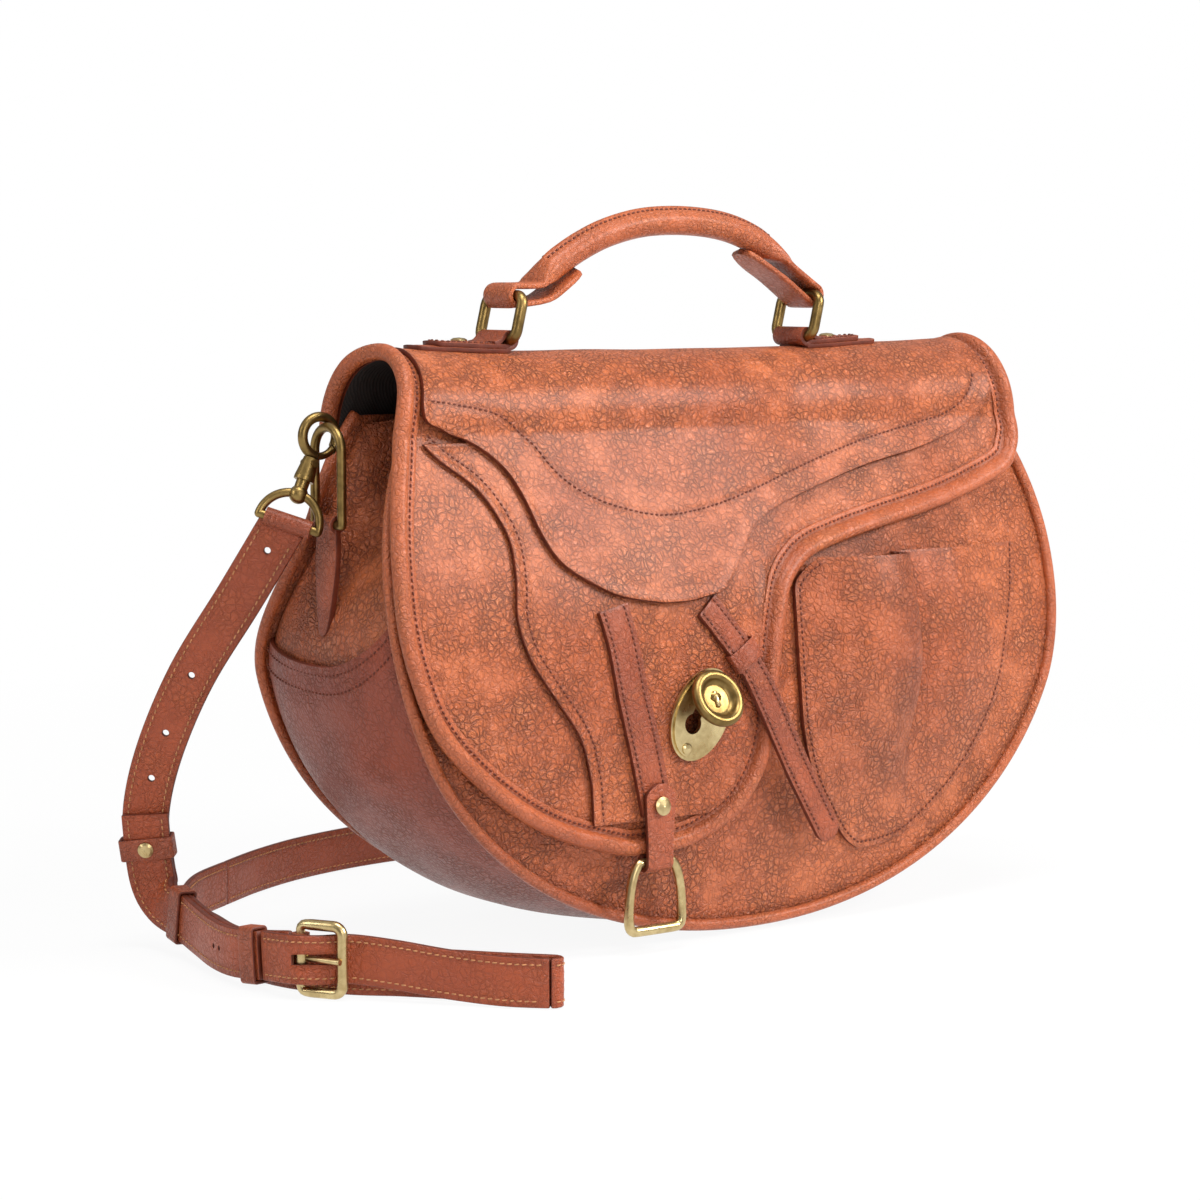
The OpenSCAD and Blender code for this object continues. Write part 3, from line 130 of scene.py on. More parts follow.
def beside(line, d):
    return line + left_of(line) * d


def arc(lo, hi, step, turn=0.0, side=1):
    """points of a circle of radius 1, by degrees"""
    a = turn + side * np.radians(np.arange(lo, hi, step))
    return np.stack([np.cos(a), np.sin(a)], 1)


def rounded(half_a, half_b, r, step):
    """points round a rectangle with rounded corners"""
    return np.vstack([np.array(c) * [half_a - r, half_b - r] + r * arc(90 * k, 90 * k + 91, step)
                      for k, c in enumerate(((1, 1), (-1, 1), (-1, -1), (1, -1)))])


def oblong(x0, x1, z0, z1):
    return np.array([[x0, z0], [x1, z0], [x1, z1], [x0, z1]])


def round_share(x, z):
    return (np.abs(x) / half_w) ** power + (np.abs(z - wide_z) / seam_rise) ** power


def seam_front(z):
    return seam_half - (seam_half - mouth_half) * clamp((z - taper_z) / (mouth_z - taper_z)) ** 1.5


def seam_back(z):
    return seam_half - (seam_half - back_mouth) * ease((z - back_taper) / (back_flat - back_taper))


def face(side, x, z):
    """how far the front or the back face stands from the middle plane"""
    fade = 1 - 0.7 * ease((z - centre_z) / (mouth_z - centre_z))
    seam = seam_front(z) if side < 0 else seam_back(z)
    return seam + bulge * np.maximum(0, 1 - round_share(x, z)) * fade


def ripple(x, z, k):
    """slow unevenness of soft leather, from -1 to 1"""
    return (np.sin(x / 21 + 1.3 * k) * np.sin(z / 17 + 2.1 + k) + 0.6 * np.sin(x / 11 - z / 13 + 3.3 * k)
            + 0.4 * np.sin(x / 7.5 + z / 9 + 5 * k)) / 2


def near(x, z, cx, cz, r):
    return np.exp(-((x - cx) ** 2 + (z - cz) ** 2) / r ** 2)


def flap_off(x, z):
    return flap_gap + rim_lift * np.minimum(1, round_share(x, z)) ** 3


def flap_sway(x, u):
    """how the whole flap sags and bulges, with the dent to the right of the middle"""
    calm = ease((228 - u) / 10)
    return ((0.35 + 0.35 * ripple(x, u, 0)) * ease((276 - u) / 20) - 1.9 * near(x, u, 38, 207, 17) * calm
            + 0.8 * near(x, u, -5, 200, 26) * calm + 0.7 * near(x, u, 84, 203, 20) * calm)


def arch_ends(x, out):
    """how far the arch over the mouth reaches to the front and to the back"""
    return face(-1, x, shoulder) + flap_off(x, shoulder) + out, back_edge + out


def flap_pt(x, u, out):
    """a point over the flap: u is the height up to the shoulder, and the way over the arch from there on"""
    x, u, out = np.broadcast_arrays(np.asarray(x, float), np.asarray(u, float), np.asarray(out, float))
    out = out + flap_sway(x, u)
    front = -face(-1, x, u) - flap_off(x, u) - out
    a = pi * clamp((u - shoulder) / arch_span)
    lead, tail = arch_ends(x, out)
    sag = arch_sag * np.sin(a) ** 2 * (1 - (np.abs(x) / half_w) ** 2)
    top = shoulder + (arch_rise + out) * np.maximum(np.sin(a), 0) ** 0.9 - sag
    over = 0.5 * (tail - lead) - 0.5 * (lead + tail) * np.cos(a)
    low = u <= shoulder
    return np.stack([x, np.where(low, front, over), np.where(low, u, top)], -1)


def on_flap(out):
    """a surface that lies out from the flap's underside; out is a number or a function of x and u"""
    return lambda v: flap_pt(*v.T, out(*v.T) if callable(out) else out)


def on_face(side, out):
    return lambda v: np.stack([v[:, 0], side * (face(side, *v.T) + out), v[:, 1]], 1)


def soft_front(v):
    x, z = v.T
    return np.stack([x, -face(-1, x, z) - 0.35 * ripple(x, z, 2.0) * clamp(1.1 - round_share(x, z)), z], 1)


def normals(fn, v, e=0.2):
    ex, eu = np.array([e, 0]), np.array([0, e])
    return unit(np.cross(fn(v + ex) - fn(v - ex), fn(v + eu) - fn(v - eu)))


# ---- meshes
def make(name, points, faces, kind, stands_for=(), shade=None):
    """a piece from points in millimetres; kind is its materials, its body and its slot, and the slot is not
    used
    """
    mats, body, slot = kind
    me = bpy.data.meshes.new(name)
    me.from_pydata((np.asarray(points) * MM).tolist(), [], [list(map(int, f)) for f in faces])
    me.update()
    for m in mats:
        me.materials.append(m)
    me.polygons.foreach_set("use_smooth", [True] * len(me.polygons))
    # the shade attribute holds painted shade, which the leather materials mix into their colour
    at = me.attributes.new("shade", "FLOAT", "POINT")
    at.data.foreach_set("value", np.zeros(len(points)) if shade is None else np.asarray(shade, float))
    ob = bpy.data.objects.new(name, me)
    scene.collection.objects.link(ob)
    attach(ob, body)
    if stands_for:
        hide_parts(*stands_for)
    return ob


def thicken(ob, thick, bevel=0.4):
    s = ob.modifiers.new("thickness", "SOLIDIFY")
    s.thickness = thick * MM
    s.offset = -1
    if len(ob.data.materials) > 1:
        s.material_offset_rim = 1
    if bevel:
        b = ob.modifiers.new("edges", "BEVEL")
        b.width = bevel * MM
        b.segments = 2
        b.limit_method = "ANGLE"
        b.angle_limit = radians(50)
    return ob


def inside(p, poly):
    x, y = p[:, 0][:, None], p[:, 1][:, None]
    a, b = poly, np.roll(poly, -1, 0)
    up = (a[:, 1] > y) != (b[:, 1] > y)
    with np.errstate(divide="ignore", invalid="ignore"):
        cross = x < (b[:, 0] - a[:, 0]) * (y - a[:, 1]) / (b[:, 1] - a[:, 1]) + a[:, 0]
    return (up & cross).sum(1) % 2 == 1


def far_from(p, line, closed=False):
    """distance of points to a line of points, a batch of points at a time"""
    a = line if not closed else np.vstack([line, line[:1]])
    s, t = a[:-1], a[1:] - a[:-1]
    best = np.zeros(len(p))
    size = np.maximum((t ** 2).sum(1), 1e-12)
    batch = 4000
    for i in range(0, len(p), batch):
        q = p[i:i + batch, None, :] - s
        k = clamp((q * t).sum(2) / size)
        best[i:i + batch] = np.sqrt(((q - k[..., None] * t) ** 2).sum(2)).min(1)
    return best


def region(outline, step, holes=()):
    """triangles of about one size inside an outline, and outside its holes"""
    step = step * 1
    loops = [even(outline, step, True)] + [np.asarray(h, float) for h in holes]
    lo, hi = loops[0].min(0), loops[0].max(0)
    row = step * 0.866
    g = np.array([(lo[0] + (i + 0.5 * (j % 2)) * step, lo[1] + j * row)
                  for j in range(int((hi[1] - lo[1]) / row) + 2)
                  for i in range(int((hi[0] - lo[0]) / step) + 2)])
    cons, n = [], 0
    for k, loop in enumerate(loops):
        g = g[inside(g, loop) == (k == 0)]
        g = g[far_from(g, loop, True) > 0.6 * step]
        cons += [(n + i, n + (i + 1) % len(loop)) for i in range(len(loop))]
        n += len(loop)
    res = delaunay_2d_cdt([Vector(p) for p in np.vstack(loops + [g])], cons, [], 0, 1e-5)
    v = np.array([tuple(p) for p in res[0]])
    f = np.array([t for t in res[2] if len(t) == 3])
    c = v[f].mean(1)
    return v, f[np.all([inside(c, loop) == (k == 0) for k, loop in enumerate(loops)], 0)]


def cloth(name, outline, fn, thick, kind, stands_for=(), holes=(), step=1.7, looks=(0, -1, 0), lines=(),
          lip=0.0, lip_w=2.5, bevel=0.4):
    """a leather piece cut to an outline and laid on a surface; lines are (path, width, depth) grooves,
    darkened with painted shade, and a line of depth 0 is only a painted shadow band
    """
    v, f = region(outline, step, holes)
    n = normals(fn, v)
    edge = far_from(v, np.asarray(outline, float), True)
    # painted shade: darker within about a millimetre of the cut edge
    shade = 0.35 * bell(edge, 1.2)
    up = lip * bell(edge, lip_w)
    for path, width, depth in lines:
        g = bell(far_from(v, path), width)
        up -= depth * g
        # painted shade along each line
        shade += 0.5 * g
    if looks is not None and (n @ np.array(looks, float)).sum() < 0:
        f = f[:, ::-1]
        n = -n
    ob = make(name, fn(v) + n * up[:, None], f, kind, stands_for, np.clip(shade, 0, 1))
    return thicken(ob, thick, bevel)


def grid_faces(r, c, wrap, cap):
    """faces between rows of c points; wrap closes each row to a ring, cap closes the ends"""
    f = [(i * c + j, i * c + (j + 1) % c, (i + 1) * c + (j + 1) % c, (i + 1) * c + j)
         for i in range(r - 1) for j in range(c if wrap else c - 1)]
    return f + [tuple(range(c))[::-1], tuple((r - 1) * c + j for j in range(c))] if cap else f


def net(name, grid, kind, stands_for=(), looks=None, wrap=False, shade=None, cap=False):
    """a mesh over rows of points; looks is the way its faces turn, or a function of their places"""
    f = grid_faces(*grid.shape[:2], wrap, cap)
    p = grid.reshape(-1, 3)
    if looks is not None:
        q = np.array([p[list(t[:3])] for t in f])
        n = np.cross(q[:, 1] - q[:, 0], q[:, 2] - q[:, 0])
        want = looks(q.mean(1)) if callable(looks) else np.array(looks, float)
        if (n * want).sum() < 0:
            f = [t[::-1] for t in f]
    return make(name, p, f, kind, stands_for, shade)


def away_from(line):
    """for net's looks: outwards from the nearest point of a line"""
    return lambda c: c - line[np.argmin(((c[:, None] - line[None]) ** 2).sum(2), 1)]


def tube(name, path, radius, kind, stands_for=(), sides=16, closed=False, hint=(0, 0, 1)):
    """a round piece along a path, without twist; hint is the way of its first side"""
    p = np.asarray(path, float)
    t = unit(np.roll(p, -1, 0) - np.roll(p, 1, 0)) if closed else along(p)
    us = [np.array(hint, float)]
    for d in t:
        us.append(unit(us[-1] - d * us[-1].dot(d)))
    a = np.array(us[1:])
    r = np.broadcast_to(np.asarray(radius, float), (len(p),))
    ang = (np.arange(sides) * 2 * pi / sides)[:, None]
    grid = p[:, None] + r[:, None, None] * (np.cos(ang) * a[:, None] + np.sin(ang) * np.cross(t, a)[:, None])
    if closed:
        grid = np.concatenate([grid, grid[:1]])
    ob = net(name, grid, kind, stands_for, away_from(p), wrap=True, cap=not closed)
    if closed:
        weld(ob)
    return ob


def weld(ob):
    ob.modifiers.new("weld", "WELD").merge_threshold = 2e-6


def strip(name, path, across, width, thick, kind, stands_for=(), looks=None):
    """a flat strip of leather: the path of its outer face, its width along across"""
    p = np.asarray(path, float)
    half = np.broadcast_to(np.asarray(width, float) * 0.5, (len(p),))
    grid = p[:, None] + np.linspace(-1, 1, 9)[None, :, None] * half[:, None, None] * np.array(across, float)
    return thicken(net(name, grid, kind, stands_for, looks), thick)


def stitches(name, runs, kind, pitch=2.4, long=1.75, r=0.42):
    """small thread capsules; runs are (points, normals)"""
    turn = 0.12
    xs = np.array([-0.5, -0.42, -0.2, 0.2, 0.42, 0.5]) * long
    rs = np.array([0.25, 0.75, 1, 1, 0.75, 0.25]) * r
    dip = np.array([-0.9, -0.25, 0.25, 0.25, -0.25, -0.9]) * r
    local = np.array([[x, q * c, q * s + d] for x, q, d in zip(xs, rs, dip) for c, s in arc(0, 359, 60)])
    quads = grid_faces(6, 6, True, True)
    pts, faces, n = [], [], 0
    for p, nr in runs:
        d = lengths(p)
        at = np.arange(0.6 * pitch, d[-1] - 0.4 * pitch, pitch)
        if not len(at):
            continue
        c, m = sample(at, d, p), unit(sample(at, d, nr))
        t = sample(at + 0.3, d, p) - c
        t = unit(t - m * (t * m).sum(1, keepdims=True))
        s = np.cross(m, t)
        t, s = t * cos(turn) + s * sin(turn), s * cos(turn) - t * sin(turn)
        axes = np.stack([t, s, m], 1)
        pts.append((c[:, None] + local @ axes).reshape(-1, 3))
        for i in range(len(c)):
            faces += [tuple(k + n for k in f) for f in quads]
            n += len(local)
    return make(name, np.vstack(pts), faces, kind)


def run(path, fn, sign=1):
    v = even(path, 1.0)
    return fn(v), normals(fn, v) * sign


# ---- materials
def rgb(*color):
    return tuple(c / 12.92 if c <= 0.04045 else ((c + 0.055) / 1.055) ** 2.4
                 for c in (v / 255 for v in color)) + (1.0,)


def dim(color, k):
    return tuple(c * k for c in color[:3]) + (1.0,)


class Nodes:
    """a node tree: an input that is given another node's output is linked, any other value is set"""
    def __init__(self, owner):
        owner.use_nodes = True
        self.owner, self.tree = owner, owner.node_tree
        self.tree.nodes.clear()

    def put(self, node, ins):
        for k, v in dict(ins).items():
            if isinstance(v, bpy.types.NodeSocket):
                self.tree.links.new(v, node.inputs[k])
            else:
                node.inputs[k].default_value = v

    def add(self, kind, ins=(), **sets):
        n = self.tree.nodes.new(kind)
        for k, v in sets.items():
            setattr(n, k, v)
        self.put(n, ins)
        return n

    def math(self, op, a, b):
        return self.add("ShaderNodeMath", {0: a, 1: b}, operation=op).outputs[0]

    def mix(self, fac, a, b):
        return self.add("ShaderNodeMix", {0: fac, 6: a, 7: b}, data_type="RGBA").outputs[2]

    def span(self, v, lo, hi, a=0.0, b=1.0):
        return self.add("ShaderNodeMapRange", {0: v, 1: lo, 2: hi, 3: a, 4: b}).outputs[0]

    def blend(self, fac, a, b):
        return self.add("ShaderNodeMixShader", {0: fac, 1: a, 2: b}).outputs[0]


class Look(Nodes):
    """a procedural material on the object's own coordinates"""
    def __init__(self, name):
        super().__init__(bpy.data.materials.new(name))
        self.bsdf = self.add("ShaderNodeBsdfPrincipled")
        self.out = self.add("ShaderNodeOutputMaterial", {0: self.bsdf.outputs[0]})
        self.coord = self.add("ShaderNodeTexCoord").outputs["Object"]

    def noise(self, scale, detail=2.0, rough=0.5, out="Fac"):
        ins = {"Vector": self.coord, "Scale": scale, "Detail": detail, "Roughness": rough}
        return self.add("ShaderNodeTexNoise", ins).outputs[out]

    def creases(self, scale, vector, lo, hi):
        """1 on the lines between cells, 0 inside them"""
        n = self.add("ShaderNodeTexVoronoi", {"Vector": vector, "Scale": scale}, feature="DISTANCE_TO_EDGE")
        return self.math("SUBTRACT", 1.0, self.span(n.outputs["Distance"], lo, hi))

    def warp(self, scale, amount):
        ins = {0: self.noise(scale, out="Color"), 1: (amount,) * 3, 2: self.coord}
        return self.add("ShaderNodeVectorMath", ins, operation="MULTIPLY_ADD").outputs[0]

    def bump(self, height, strength, distance):
        n = self.add("ShaderNodeBump", {"Strength": strength, "Distance": distance, "Height": height})
        self.put(self.bsdf, {"Normal": n.outputs[0]})

    def done(self, color, rough, **consts):
        sets = dict(consts, Base_Color=color, Roughness=rough)
        self.put(self.bsdf, {k.replace("_", " "): v for k, v in sets.items()})
        return self.owner


def leather_look(name, base, dark, light, grain=1.0, rough=0.31):
    """pebbled leather: fine creases round small cells, pores, soft tone changes, a waxy shine, and painted
    shade read from the mesh's shade attribute
    """
    n = Look(name)
    cell = 400.0
    base, dark, light = rgb(*base), rgb(*dark), rgb(*light)
    deep = dim(dark, 0.4)
    shade = n.add("ShaderNodeAttribute", attribute_name="shade").outputs["Fac"]
    warped = n.warp(170.0, 0.005)
    by = partial(n.math, "MULTIPLY")
    pores = n.noise(cell * 7.0, 3.0, 0.6)
    large = n.noise(13.0, 3.0, 0.55)
    middle = n.noise(62.0, 3.0, 0.6)
    worn = n.span(middle, 0.34, 0.62, 0.35, 1.0)
    line = by(n.creases(cell, warped, 0.02, 0.2), worn)
    thin = by(n.creases(cell * 2.3, warped, 0.0, 0.2), worn)
    tone = n.mix(n.span(large, 0.38, 0.6, 0.4, 1.0), dark, base)
    tone = n.mix(n.span(middle, 0.52, 0.74, 0.0, 0.35), tone, light)
    tone = n.mix(by(line, 0.8 * grain), tone, deep)
    tone = n.mix(by(thin, 0.5 * grain), tone, dark)
    tone = n.mix(by(n.span(pores, 0.5, 0.75), 0.22), tone, dark)
    # painted shade: darker towards deep where the shade attribute is high, at cut edges, grooves and painted
    # shadow lines
    tone = n.mix(by(shade, 0.7), tone, deep)
    height = n.math("SUBTRACT", by(middle, 1.6), by(line, grain))
    height = n.math("SUBTRACT", height, by(thin, 0.5 * grain))
    n.bump(n.math("ADD", height, by(pores, 0.25)), 1.0, 0.0008)
    shine = n.math("ADD", n.span(pores, 0.25, 0.75, rough - 0.05, rough + 0.1), by(line, 0.25))
    return n.done(tone, shine, Specular_IOR_Level=0.5, Coat_Weight=0.17, Coat_Roughness=0.3)


def fibre_look(name, color, fine, coarse, detail, strength, distance, rough):
    """one colour with darker patches, and a fine uneven surface"""
    n, color = Look(name), rgb(*color)
    n.bump(n.noise(fine, detail), strength, distance)
    return n.done(n.mix(n.span(n.noise(coarse, detail), 0.35, 0.7), dim(color, 0.6), color), rough)


def thread_look(name, color):
    return fibre_look(name, color, 2600.0, 700.0, 2.0, 0.4, 0.0002, 0.65)


def brass_look(name, color, aged, rough):
    n = Look(name)
    spots = n.math("ADD", n.noise(90.0, 4.0, 0.6), n.math("MULTIPLY", n.noise(420.0, 3.0), 0.4))
    n.bump(n.noise(1500.0, 3.0, 0.6), 0.12, 0.0002)
    return n.done(n.mix(n.math("MULTIPLY", n.span(spots, 0.5, 0.95), 0.75), rgb(*color), rgb(*aged)),
                  n.span(n.noise(260.0, 4.0), 0.3, 0.75, rough, rough + 0.16), Metallic=1.0)


def lining_look():
    n = Look("dark_lining")
    weave = n.add("ShaderNodeTexWave", {"Vector": n.coord, "Scale": 420.0, "Distortion": 0.6},
                  wave_type="BANDS", bands_direction="DIAGONAL").outputs["Fac"]
    n.bump(weave, 0.4, 0.0003)
    return n.done(n.mix(weave, rgb(22, 16, 14), rgb(40, 31, 27)), 0.85)


GRAIN = leather_look("grained_leather", (200, 108, 60), (168, 78, 38), (228, 148, 100))
SMOOTH = leather_look("smooth_leather", (168, 78, 38), (134, 56, 26), (194, 106, 62), 0.5, 0.34)
# the lower sides' leather: a darker copy of the smooth leather, partly the sides' own tone and partly painted
# shade for sides turned away from the key lamp
SIDE_TONE_AND_SHADE = leather_look("side_leather", (152, 60, 22), (118, 42, 14), (172, 80, 36), 0.5, 0.34)
ROLL = leather_look("rolled_trim", (188, 96, 50), (152, 68, 32), (214, 128, 80), 0.45, 0.32)
STRAP = leather_look("strap_leather", (176, 76, 28), (146, 58, 20), (198, 100, 48), 0.4, 0.34)
EDGE = fibre_look("burnished_edge", (112, 46, 24), 900.0, 240.0, 3.0, 0.3, 0.0003, 0.5)
THREAD = thread_look("brown_thread", (112, 46, 22))
CREAM = thread_look("cream_thread", (206, 142, 92))
PALE = brass_look("pale_brass", (226, 204, 152), (150, 120, 70), 0.24)
AGED = brass_look("aged_brass", (160, 132, 80), (70, 52, 26), 0.3)
LINING = lining_look()

# materials, body and slot of the leather pieces
skin, plain = [GRAIN, EDGE], [SMOOTH, EDGE]
BAG_SKIN, BAG_PLAIN = (skin, "bag", "body_leather"), (plain, "bag", "smooth_leather")
FLAP_SKIN, FLAP_PLAIN = (skin, "flap", "body_leather"), (plain, "flap", "smooth_leather")
BAG_TRIM, FLAP_TRIM = ([ROLL], "bag", "trim_leather"), ([ROLL], "flap", "trim_leather")

# ---- camera and light
yaw, pitch = radians(38.0), radians(5.7)
ahead = Vector((sin(yaw) * cos(pitch), cos(yaw) * cos(pitch), -sin(pitch)))
across = Vector((cos(yaw), -sin(yaw), 0))
sensor, focal_pixels, picture_pixels, distance = 36, 3433, 1200, 1.3686
cam_data = bpy.data.cameras.new("camera")
cam = bpy.data.objects.new("camera", cam_data)
scene.collection.objects.link(cam)
cam_data.sensor_width = sensor
cam_data.lens = focal_pixels / picture_pixels * sensor
cam_data.clip_start, cam_data.clip_end = 0.05, 30
spot = Vector((-0.0383, 0, 0.1298)) - ahead * distance
turn = Matrix((across, across.cross(ahead), -ahead)).transposed()
cam.matrix_world = Matrix.Translation(spot) @ turn.to_4x4()
scene.camera = cam
scene.view_settings.view_transform = "Standard"


def lamp(name, place, aim_z, size, power_w, color=(1, 1, 1)):
    d = bpy.data.lights.new(name, "AREA")
    d.shape = "RECTANGLE"
    d.size, d.size_y = size
    d.energy = power_w
    d.color = color
    o = bpy.data.objects.new(name, d)
    scene.collection.objects.link(o)
    o.location = place
    o.rotation_euler = (Vector((0, 0, aim_z)) - o.location).to_track_quat("-Z", "Y").to_euler()


lamp("key", (1.0, -1.35, 1.15), 0.12, (0.8, 0.7), 36, (1, 0.985, 0.96))
lamp("top", (-0.15, -0.4, 1.6), 0.1, (0.8, 0.5), 17)
lamp("front", (-0.6, -1.6, 0.7), 0.1, (0.5, 0.7), 7)
lamp("left", (-1.6, 0.3, 0.9), 0.12, (0.5, 0.8), 5)

# the world: white to the camera, brighter above than below in reflections
room = Nodes(bpy.data.worlds.new("room"))
scene.world = room.owner
ray = room.add("ShaderNodeLightPath").outputs
way = room.add("ShaderNodeTexCoord").outputs["Generated"]
way_up = room.add("ShaderNodeSeparateXYZ", {0: way}).outputs[2]
fill, mirrored, white = (room.add("ShaderNodeBackground", ins).outputs[0] for ins in (
    {1: 0.3}, {1: room.span(way_up, -0.2, 0.75, 0.1, 0.6)}, {0: (1, 1, 1, 1)}))
seen = room.math("MAXIMUM", ray["Is Camera Ray"], ray["Is Transmission Ray"])
lit = room.blend(ray["Is Glossy Ray"], fill, mirrored)
room.add("ShaderNodeOutputWorld", {0: room.blend(seen, lit, white)})

# floor: plain white, keeping a soft shadow that fades away from the bag
ground = Look("floor")
ground.done((0.85, 0.85, 0.85, 1), 0.9, Specular_IOR_Level=0.0)
ray = ground.add("ShaderNodeLightPath").outputs
away = ground.add("ShaderNodeVectorMath", {0: ground.coord}, operation="LENGTH").outputs["Value"]
seen = ground.math("MAXIMUM", ground.math("MAXIMUM", ray["Is Camera Ray"], ray["Is Glossy Ray"]),
                   ray["Is Transmission Ray"])
glow = ground.add("ShaderNodeEmission", {1: 1.0}).outputs[0]
share = ground.math("MULTIPLY", seen, ground.span(away, 0.3, 0.9, 0.92, 1.0))
ground.put(ground.out, {0: ground.blend(share, ground.bsdf.outputs[0], glow)})
bpy.ops.mesh.primitive_plane_add(size=30, location=(0, 0, -0.0004))
floor = bpy.context.object
floor.name = "floor"
floor.data.materials.append(ground.owner)


def cad_box_of(node):
    lo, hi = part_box(node)
    return np.array(lo) / MM, np.array(hi) / MM


# ---- body
def oval(v):
    return np.sign(v) * np.abs(v) ** (2 / power)


corner_a = asin(((mouth_z - wide_z) / seam_rise) ** (power / 2))
ang = np.linspace(corner_a, -pi - corner_a, 1600)
seam = even(np.stack([half_w * oval(np.cos(ang)), wide_z + seam_rise * oval(np.sin(ang))], 1), 1.5)
seam_out = left_of(seam)
seam_s = lengths(seam)
ccw = seam[::-1]
under_piping, lining_in, lining_t, sides = 1.7, 2.6, 0.8, ((-1, "front"), (1, "back"))
turned_in = beside(ccw, -under_piping)
for side, name, fn, step in ((-1, "front", soft_front, 2.0), (1, "back", on_face(1, 0), 2.6)):
    cloth(name + "_face", turned_in, fn, leather, BAG_SKIN, [name + "_panel"], step=step, looks=(0, side, 0),
          lines=[(ccw, 2.2, 0.9)])
inner = np.array([0, centre_z]) + (ccw - [0, centre_z]) * 0.95
for side, name in sides:
    name += "_lining"
    cloth(name + "_cloth", inner, on_face(side, -lining_in), lining_t, ([LINING], "bag", "lining"), [name],
          step=4.0, looks=(0, -side, 0), bevel=0)
for side, name in sides:
    name += "_piping"
    depth = side * ((seam_front if side < 0 else seam_back)(seam[:, 1]) - 0.3)
    q = seam + seam_out * (piping_r + touch)
    tube(name + "_cord", np.stack([q[:, 0], depth, q[:, 1]], 1), piping_r, BAG_TRIM, [name],
         hint=(0, 1, 0))


def seam_at_height(z, left):
    """place along the seam, on one side, at a height"""
    mid = len(seam) // 2
    part = slice(mid, None) if left else slice(0, mid)
    zz, ss = seam[part][:, 1], seam_s[part]
    order = np.argsort(zz)
    return np.interp(z, zz[order], ss[order])


def gusset_pt(s, v, deep, wave=0.0):
    """a point of the sides: s along the seam, v from the front seam to the back seam"""
    px, pz = sample(s, seam_s, seam).T
    ox, oz = sample(s, seam_s, seam_out).T
    sf, sb = seam_front(pz), seam_back(pz)
    half = 0.5 * (sf + sb) - leather - ply
    y = 0.5 * (sb - sf) + v * half
    up = ease((pz - gusset_top) / (mouth_z - gusset_top))
    low = ease((130 - pz) / 60) * ease((np.abs(px) - 40) / 60)
    full = np.where(v > 0, 1 - v ** 4, 1 - v * v) * (1 + 0.55 * low)
    out = gusset_bulge * full * (1 - 0.5 * up) - deep + wave * (1 - v * v)
    out = out - 0.7 * bell((1 - np.abs(v)) * half, 2.6)
    x = px + ox * out
    x = x - np.sign(x) * fold_depth * up * np.maximum(0, 1 - v * v) ** 1.4
    return np.stack([x, y, np.maximum(deep, pz + oz * out)], -1)


def lip_z(v):
    return gusset_top + gusset_rise * v * v * np.where(v < 0, 1, 0.27)


lip_rows = (3.4, 10.0)
vs = np.sin(np.linspace(-pi / 2, pi / 2, 61))
rows = []
for t in np.linspace(0, 1, 200):
    a, b = seam_at_height(lip_z(vs), False), seam_at_height(lip_z(vs), True)
    s = a + (b - a) * t
    z = np.interp(s, seam_s, seam[:, 1])
    from_lip = np.minimum(s - a, b - s)
    lift = 0.5 * bell(from_lip, 2.2) - 0.3 * sum(bell(from_lip - k, 0.9) for k in lip_rows)
    rows.append(gusset_pt(s, vs, 0, 0.8 * ripple(s * 0.7, vs * 40, 4) * ease((z - 12) / 30) + lift))
thicken(net("lower_side", np.array(rows), ([SIDE_TONE_AND_SHADE, EDGE], "bag", "smooth_leather"), ["lower_gusset"],
            lambda c: c - [0, 0, wide_z]), leather)
for left in (True, False):
    rows = []
    for t in np.linspace(0, 1, 60):
        s_top = seam_at_height(np.full_like(vs, mouth_z - 1), left)
        s = s_top + (seam_at_height(lip_z(vs) - 6, left) - s_top) * t
        z = np.interp(s, seam_s, seam[:, 1])
        crumple = 0.9 * np.sin(z / 4.1 + 3 * vs) * np.sin(vs * 7 + z / 9) * ease((z - 120) / 25)
        rows.append(gusset_pt(s, vs, leather + 3 * ply, crumple * 0.8))
    name = "upper_gusset_" + ("left" if left else "right")
    thicken(net(name + "_fold", np.array(rows), BAG_SKIN, [name], lambda c: c - [0, 0, 140]), leather)

# ---- pocket
pocket_left = drawn(.162, .3, .192, .256, .252, .208, .342, .147, .44, .112, .536, .094, .652, .09,
    .767, .1, .815, .116, .862, .175, n=4)
pocket_right = drawn(.162, .335, .179, .44, .235, .537, .318, .635, .43, .715, .529, .764, .649, .804,
    .744, .834, .862, .862, n=4)
# the gathered middle: how far it stands out and leans aside, by side position
fold_x = [10, 19, 26, 34, 44, 54, 62, 67, 70.5, 72.5, 74, 76, 80, 90, 105, 120, 133, 150]
fold_gap = [0, 0, 2.0, 5.8, 10.0, 12.6, 13.4, 13.0, 11.4, 7.6, 2.8, 0.5, 0.0, 2.6, 4.2, 2.4, 0, 0]
fold_side = [0, 0.8, 1.8, 2.6, 1.2, -1.2, -2.4, -1.4, 0]


def pocket_fn(out):
    def fn(v):
        x, z = v.T
        grow = ease((z - 0.24 * ref_w) / (0.42 * ref_w))
        gap = (np.interp(x, fold_x, fold_gap) + 0.35 * (1 + ripple(x, z, 6))) * grow
        aside = np.interp(x, fold_x[5:14], fold_side) * grow
        return np.stack([x + aside, -face(-1, x, z) - 0.5 - gap - out, z], 1)
    return fn


pocket_line = np.vstack([pocket_left[::-1], pocket_right[1:]])
sew = beside(even(pocket_line, 1.5), 2.4)
# painted shadow: these two lines have no depth, so they only darken the pocket along the fold's crease and in
# a wide band over the bulge next to it
crease_painted_shadow = even([[75.5, 46], [74.5, 90], [74, 149]], 1.5)
fold_shadow = even([[68, 58], [66, 100], [65, 149]], 1.5)
cloth("front_pocket", pocket_line, pocket_fn(leather), leather, BAG_SKIN, ["pocket"], step=1.5,
      lines=[(sew, 0.9, 0.35), (crease_painted_shadow, 2.2, 0), (fold_shadow, 8.5, 0)])

